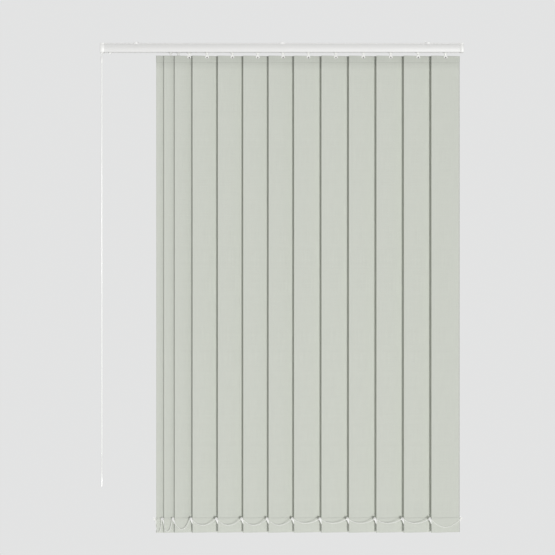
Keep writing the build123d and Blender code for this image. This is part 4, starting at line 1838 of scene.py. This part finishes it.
# ---------------------------------------------------------------- studio
@dataclass
class Studio:
    """A pale floor, soft light and a level camera in front of the blind."""

    centre: tuple[float, float, float] = (-0.0124, 0.0, -0.6775)
    view_width: float = 1.598
    distance: float = 12.0
    sensor: float = 36.0 * MM
    floor_drop: float = 2.4
    floor_radius: float = 13.5
    key_turn: float = 10.0
    key_rise: float = 6.0
    key_angle: float = 7.0
    key_strength: float = 2.1
    fill_way: tuple[float, float, float] = (0.35, -0.8, -0.4)
    fill_angle: float = 30.0
    fill_strength: float = 1.5
    top_way: tuple[float, float, float] = (0.0, 0.0, -1.0)
    top_angle: float = 15.0
    top_strength: float = 1.15
    ambient: float = 0.2
    backdrop: float = 0.77

    def camera(self) -> None:
        """Places the camera."""
        data = bpy.data.cameras.new("camera")
        data.sensor_width = self.sensor / MM
        data.lens = self.distance * data.sensor_width / self.view_width
        data.clip_start, data.clip_end = 0.1, 100.0
        camera = bpy.data.objects.new("camera", data)
        camera.location = Vector(self.centre) - Vector((0.0, self.distance, 0.0))
        camera.rotation_euler = (math.radians(90), 0.0, 0.0)
        bpy.context.scene.collection.objects.link(camera)
        bpy.context.scene.camera = camera

    def sun(self, name: str, towards: Vector, strength: float, angle: float) -> None:
        """Adds a soft distant light.

        Args:
            name: the light's name.
            towards: the direction in which it shines.
            strength: its strength.
            angle: its apparent size in degrees.
        """
        data = bpy.data.lights.new(name, "SUN")
        data.energy = strength
        data.angle = math.radians(angle)
        light = bpy.data.objects.new(name, data)
        light.rotation_mode = "QUATERNION"
        light.rotation_quaternion = towards.to_track_quat("-Z", "Y")
        bpy.context.scene.collection.objects.link(light)

    def world(self) -> None:
        """Sets an even surround that lights softly and shows pale."""
        world = bpy.data.worlds.new("studio")
        bpy.context.scene.world = world
        world.use_nodes = True
        sketch = NodeSketch(world.node_tree)
        world.node_tree.nodes.clear()
        soft, shown = sketch.add("Background"), sketch.add("Background")
        soft.inputs["Color"].default_value = (1.0, 1.0, 1.0, 1.0)
        soft.inputs["Strength"].default_value = self.ambient
        shown.inputs["Color"].default_value = (0.995, 1.0, 1.0, 1.0)
        shown.inputs["Strength"].default_value = self.backdrop
        mix, out = sketch.add("MixShader"), sketch.add("OutputWorld")
        sketch.feed(mix.inputs[0], sketch.add("LightPath").outputs["Is Camera Ray"])
        sketch.feed(mix.inputs[1], soft.outputs[0])
        sketch.feed(mix.inputs[2], shown.outputs[0])
        sketch.feed(out.inputs[0], mix.outputs[0])

    def floor(self) -> None:
        """Adds the pale floor."""
        bm = bmesh.new()
        bmesh.ops.create_circle(bm, cap_ends=True, segments=96, radius=self.floor_radius)
        bmesh.ops.translate(bm, vec=(0.0, 0.0, -self.floor_drop), verts=bm.verts[:])
        paint = MouldedPlastic("floor_paint", (0.8, 0.8, 0.795), 0.7, 60.0, 0.1 * MM, 0.01).build()
        floor = make_piece("floor", bm, [paint])
        floor.visible_shadow = False  # the key shines up past it

    def build(self) -> None:
        """Builds the studio."""
        self.floor()
        self.world()
        turn, rise = math.radians(self.key_turn), math.radians(self.key_rise)
        key = Vector((-math.sin(turn), math.cos(turn), math.tan(rise)))
        self.sun("key", key, self.key_strength, self.key_angle)
        self.sun("back_fill", Vector(self.fill_way), self.fill_strength, self.fill_angle)
        self.sun("top_fill", Vector(self.top_way), self.top_strength, self.top_angle)
        self.camera()
        settings = bpy.context.scene.view_settings
        settings.view_transform = "Standard"
        settings.look = "None"


def main() -> None:
    """Builds the blind and its studio, in order."""
    logging.basicConfig(level=logging.INFO, format="%(name)s: %(message)s")
    layout = Layout.read()
    cap = MouldedPlastic("cap_plastic", (0.76, 0.76, 0.745), 0.38).build()
    plastic = MouldedPlastic("carrier_moulding", (0.85, 0.85, 0.83), 0.38).build()
    # painted shadow: the hangers are dark so that each hook's eye hole shows dark
    smoke = MouldedPlastic("hanger_moulding", (0.24, 0.24, 0.225), 0.45).build()
    gear = MouldedPlastic("gear_moulding", (0.82, 0.82, 0.79), 0.4).build()
    beads = MouldedPlastic("bead_moulding", (0.88, 0.885, 0.86), 0.35, 2400.0, 0.01 * MM).build()
    coat = CoatedMetal("rail_coat", (0.655, 0.655, 0.645), 0.4).build()
    clip = CoatedMetal("clip_coat", (0.72, 0.72, 0.71), 0.44).build()
    rod = DrawnMetal("drawn_rod", (0.72, 0.72, 0.74), 0.32).build()
    bright = MouldedPlastic("bright_moulding", (0.9, 0.9, 0.885), 0.36).build()
    wand_rod = ExtrudedPlastic("wand_plastic", (0.93, 0.935, 0.92), 0.2).build()

    cut = ClothCut(layout.slat_top, layout.slat_low, layout.eye)
    sage = (0.604, 0.626, 0.57)
    # the painted shade along the cloth's top runs down to its first weld
    faces = WovenCloth("sage_cloth", sage, 0.85, welds=cut.welds, pocket_end=cut.welds[0]).build()
    edges = CutEdge("cloth_edge", (0.64, 0.66, 0.6), 0.9).build()

    Headrail(layout, coat, cap, clip, bright).build()
    Drive(layout, plastic, gear, rod).build()
    Wand(bright, wand_rod).build()
    slats = SlatSet(layout, cut, faces, edges, plastic, smoke, gear)
    slats.build()
    weight = slats.weight
    BeadChains(layout, beads, weight.ring_z, weight.ring_radius, weight.thickness / 2).build()
    Studio().build()


if __name__ == "__main__":
    main()
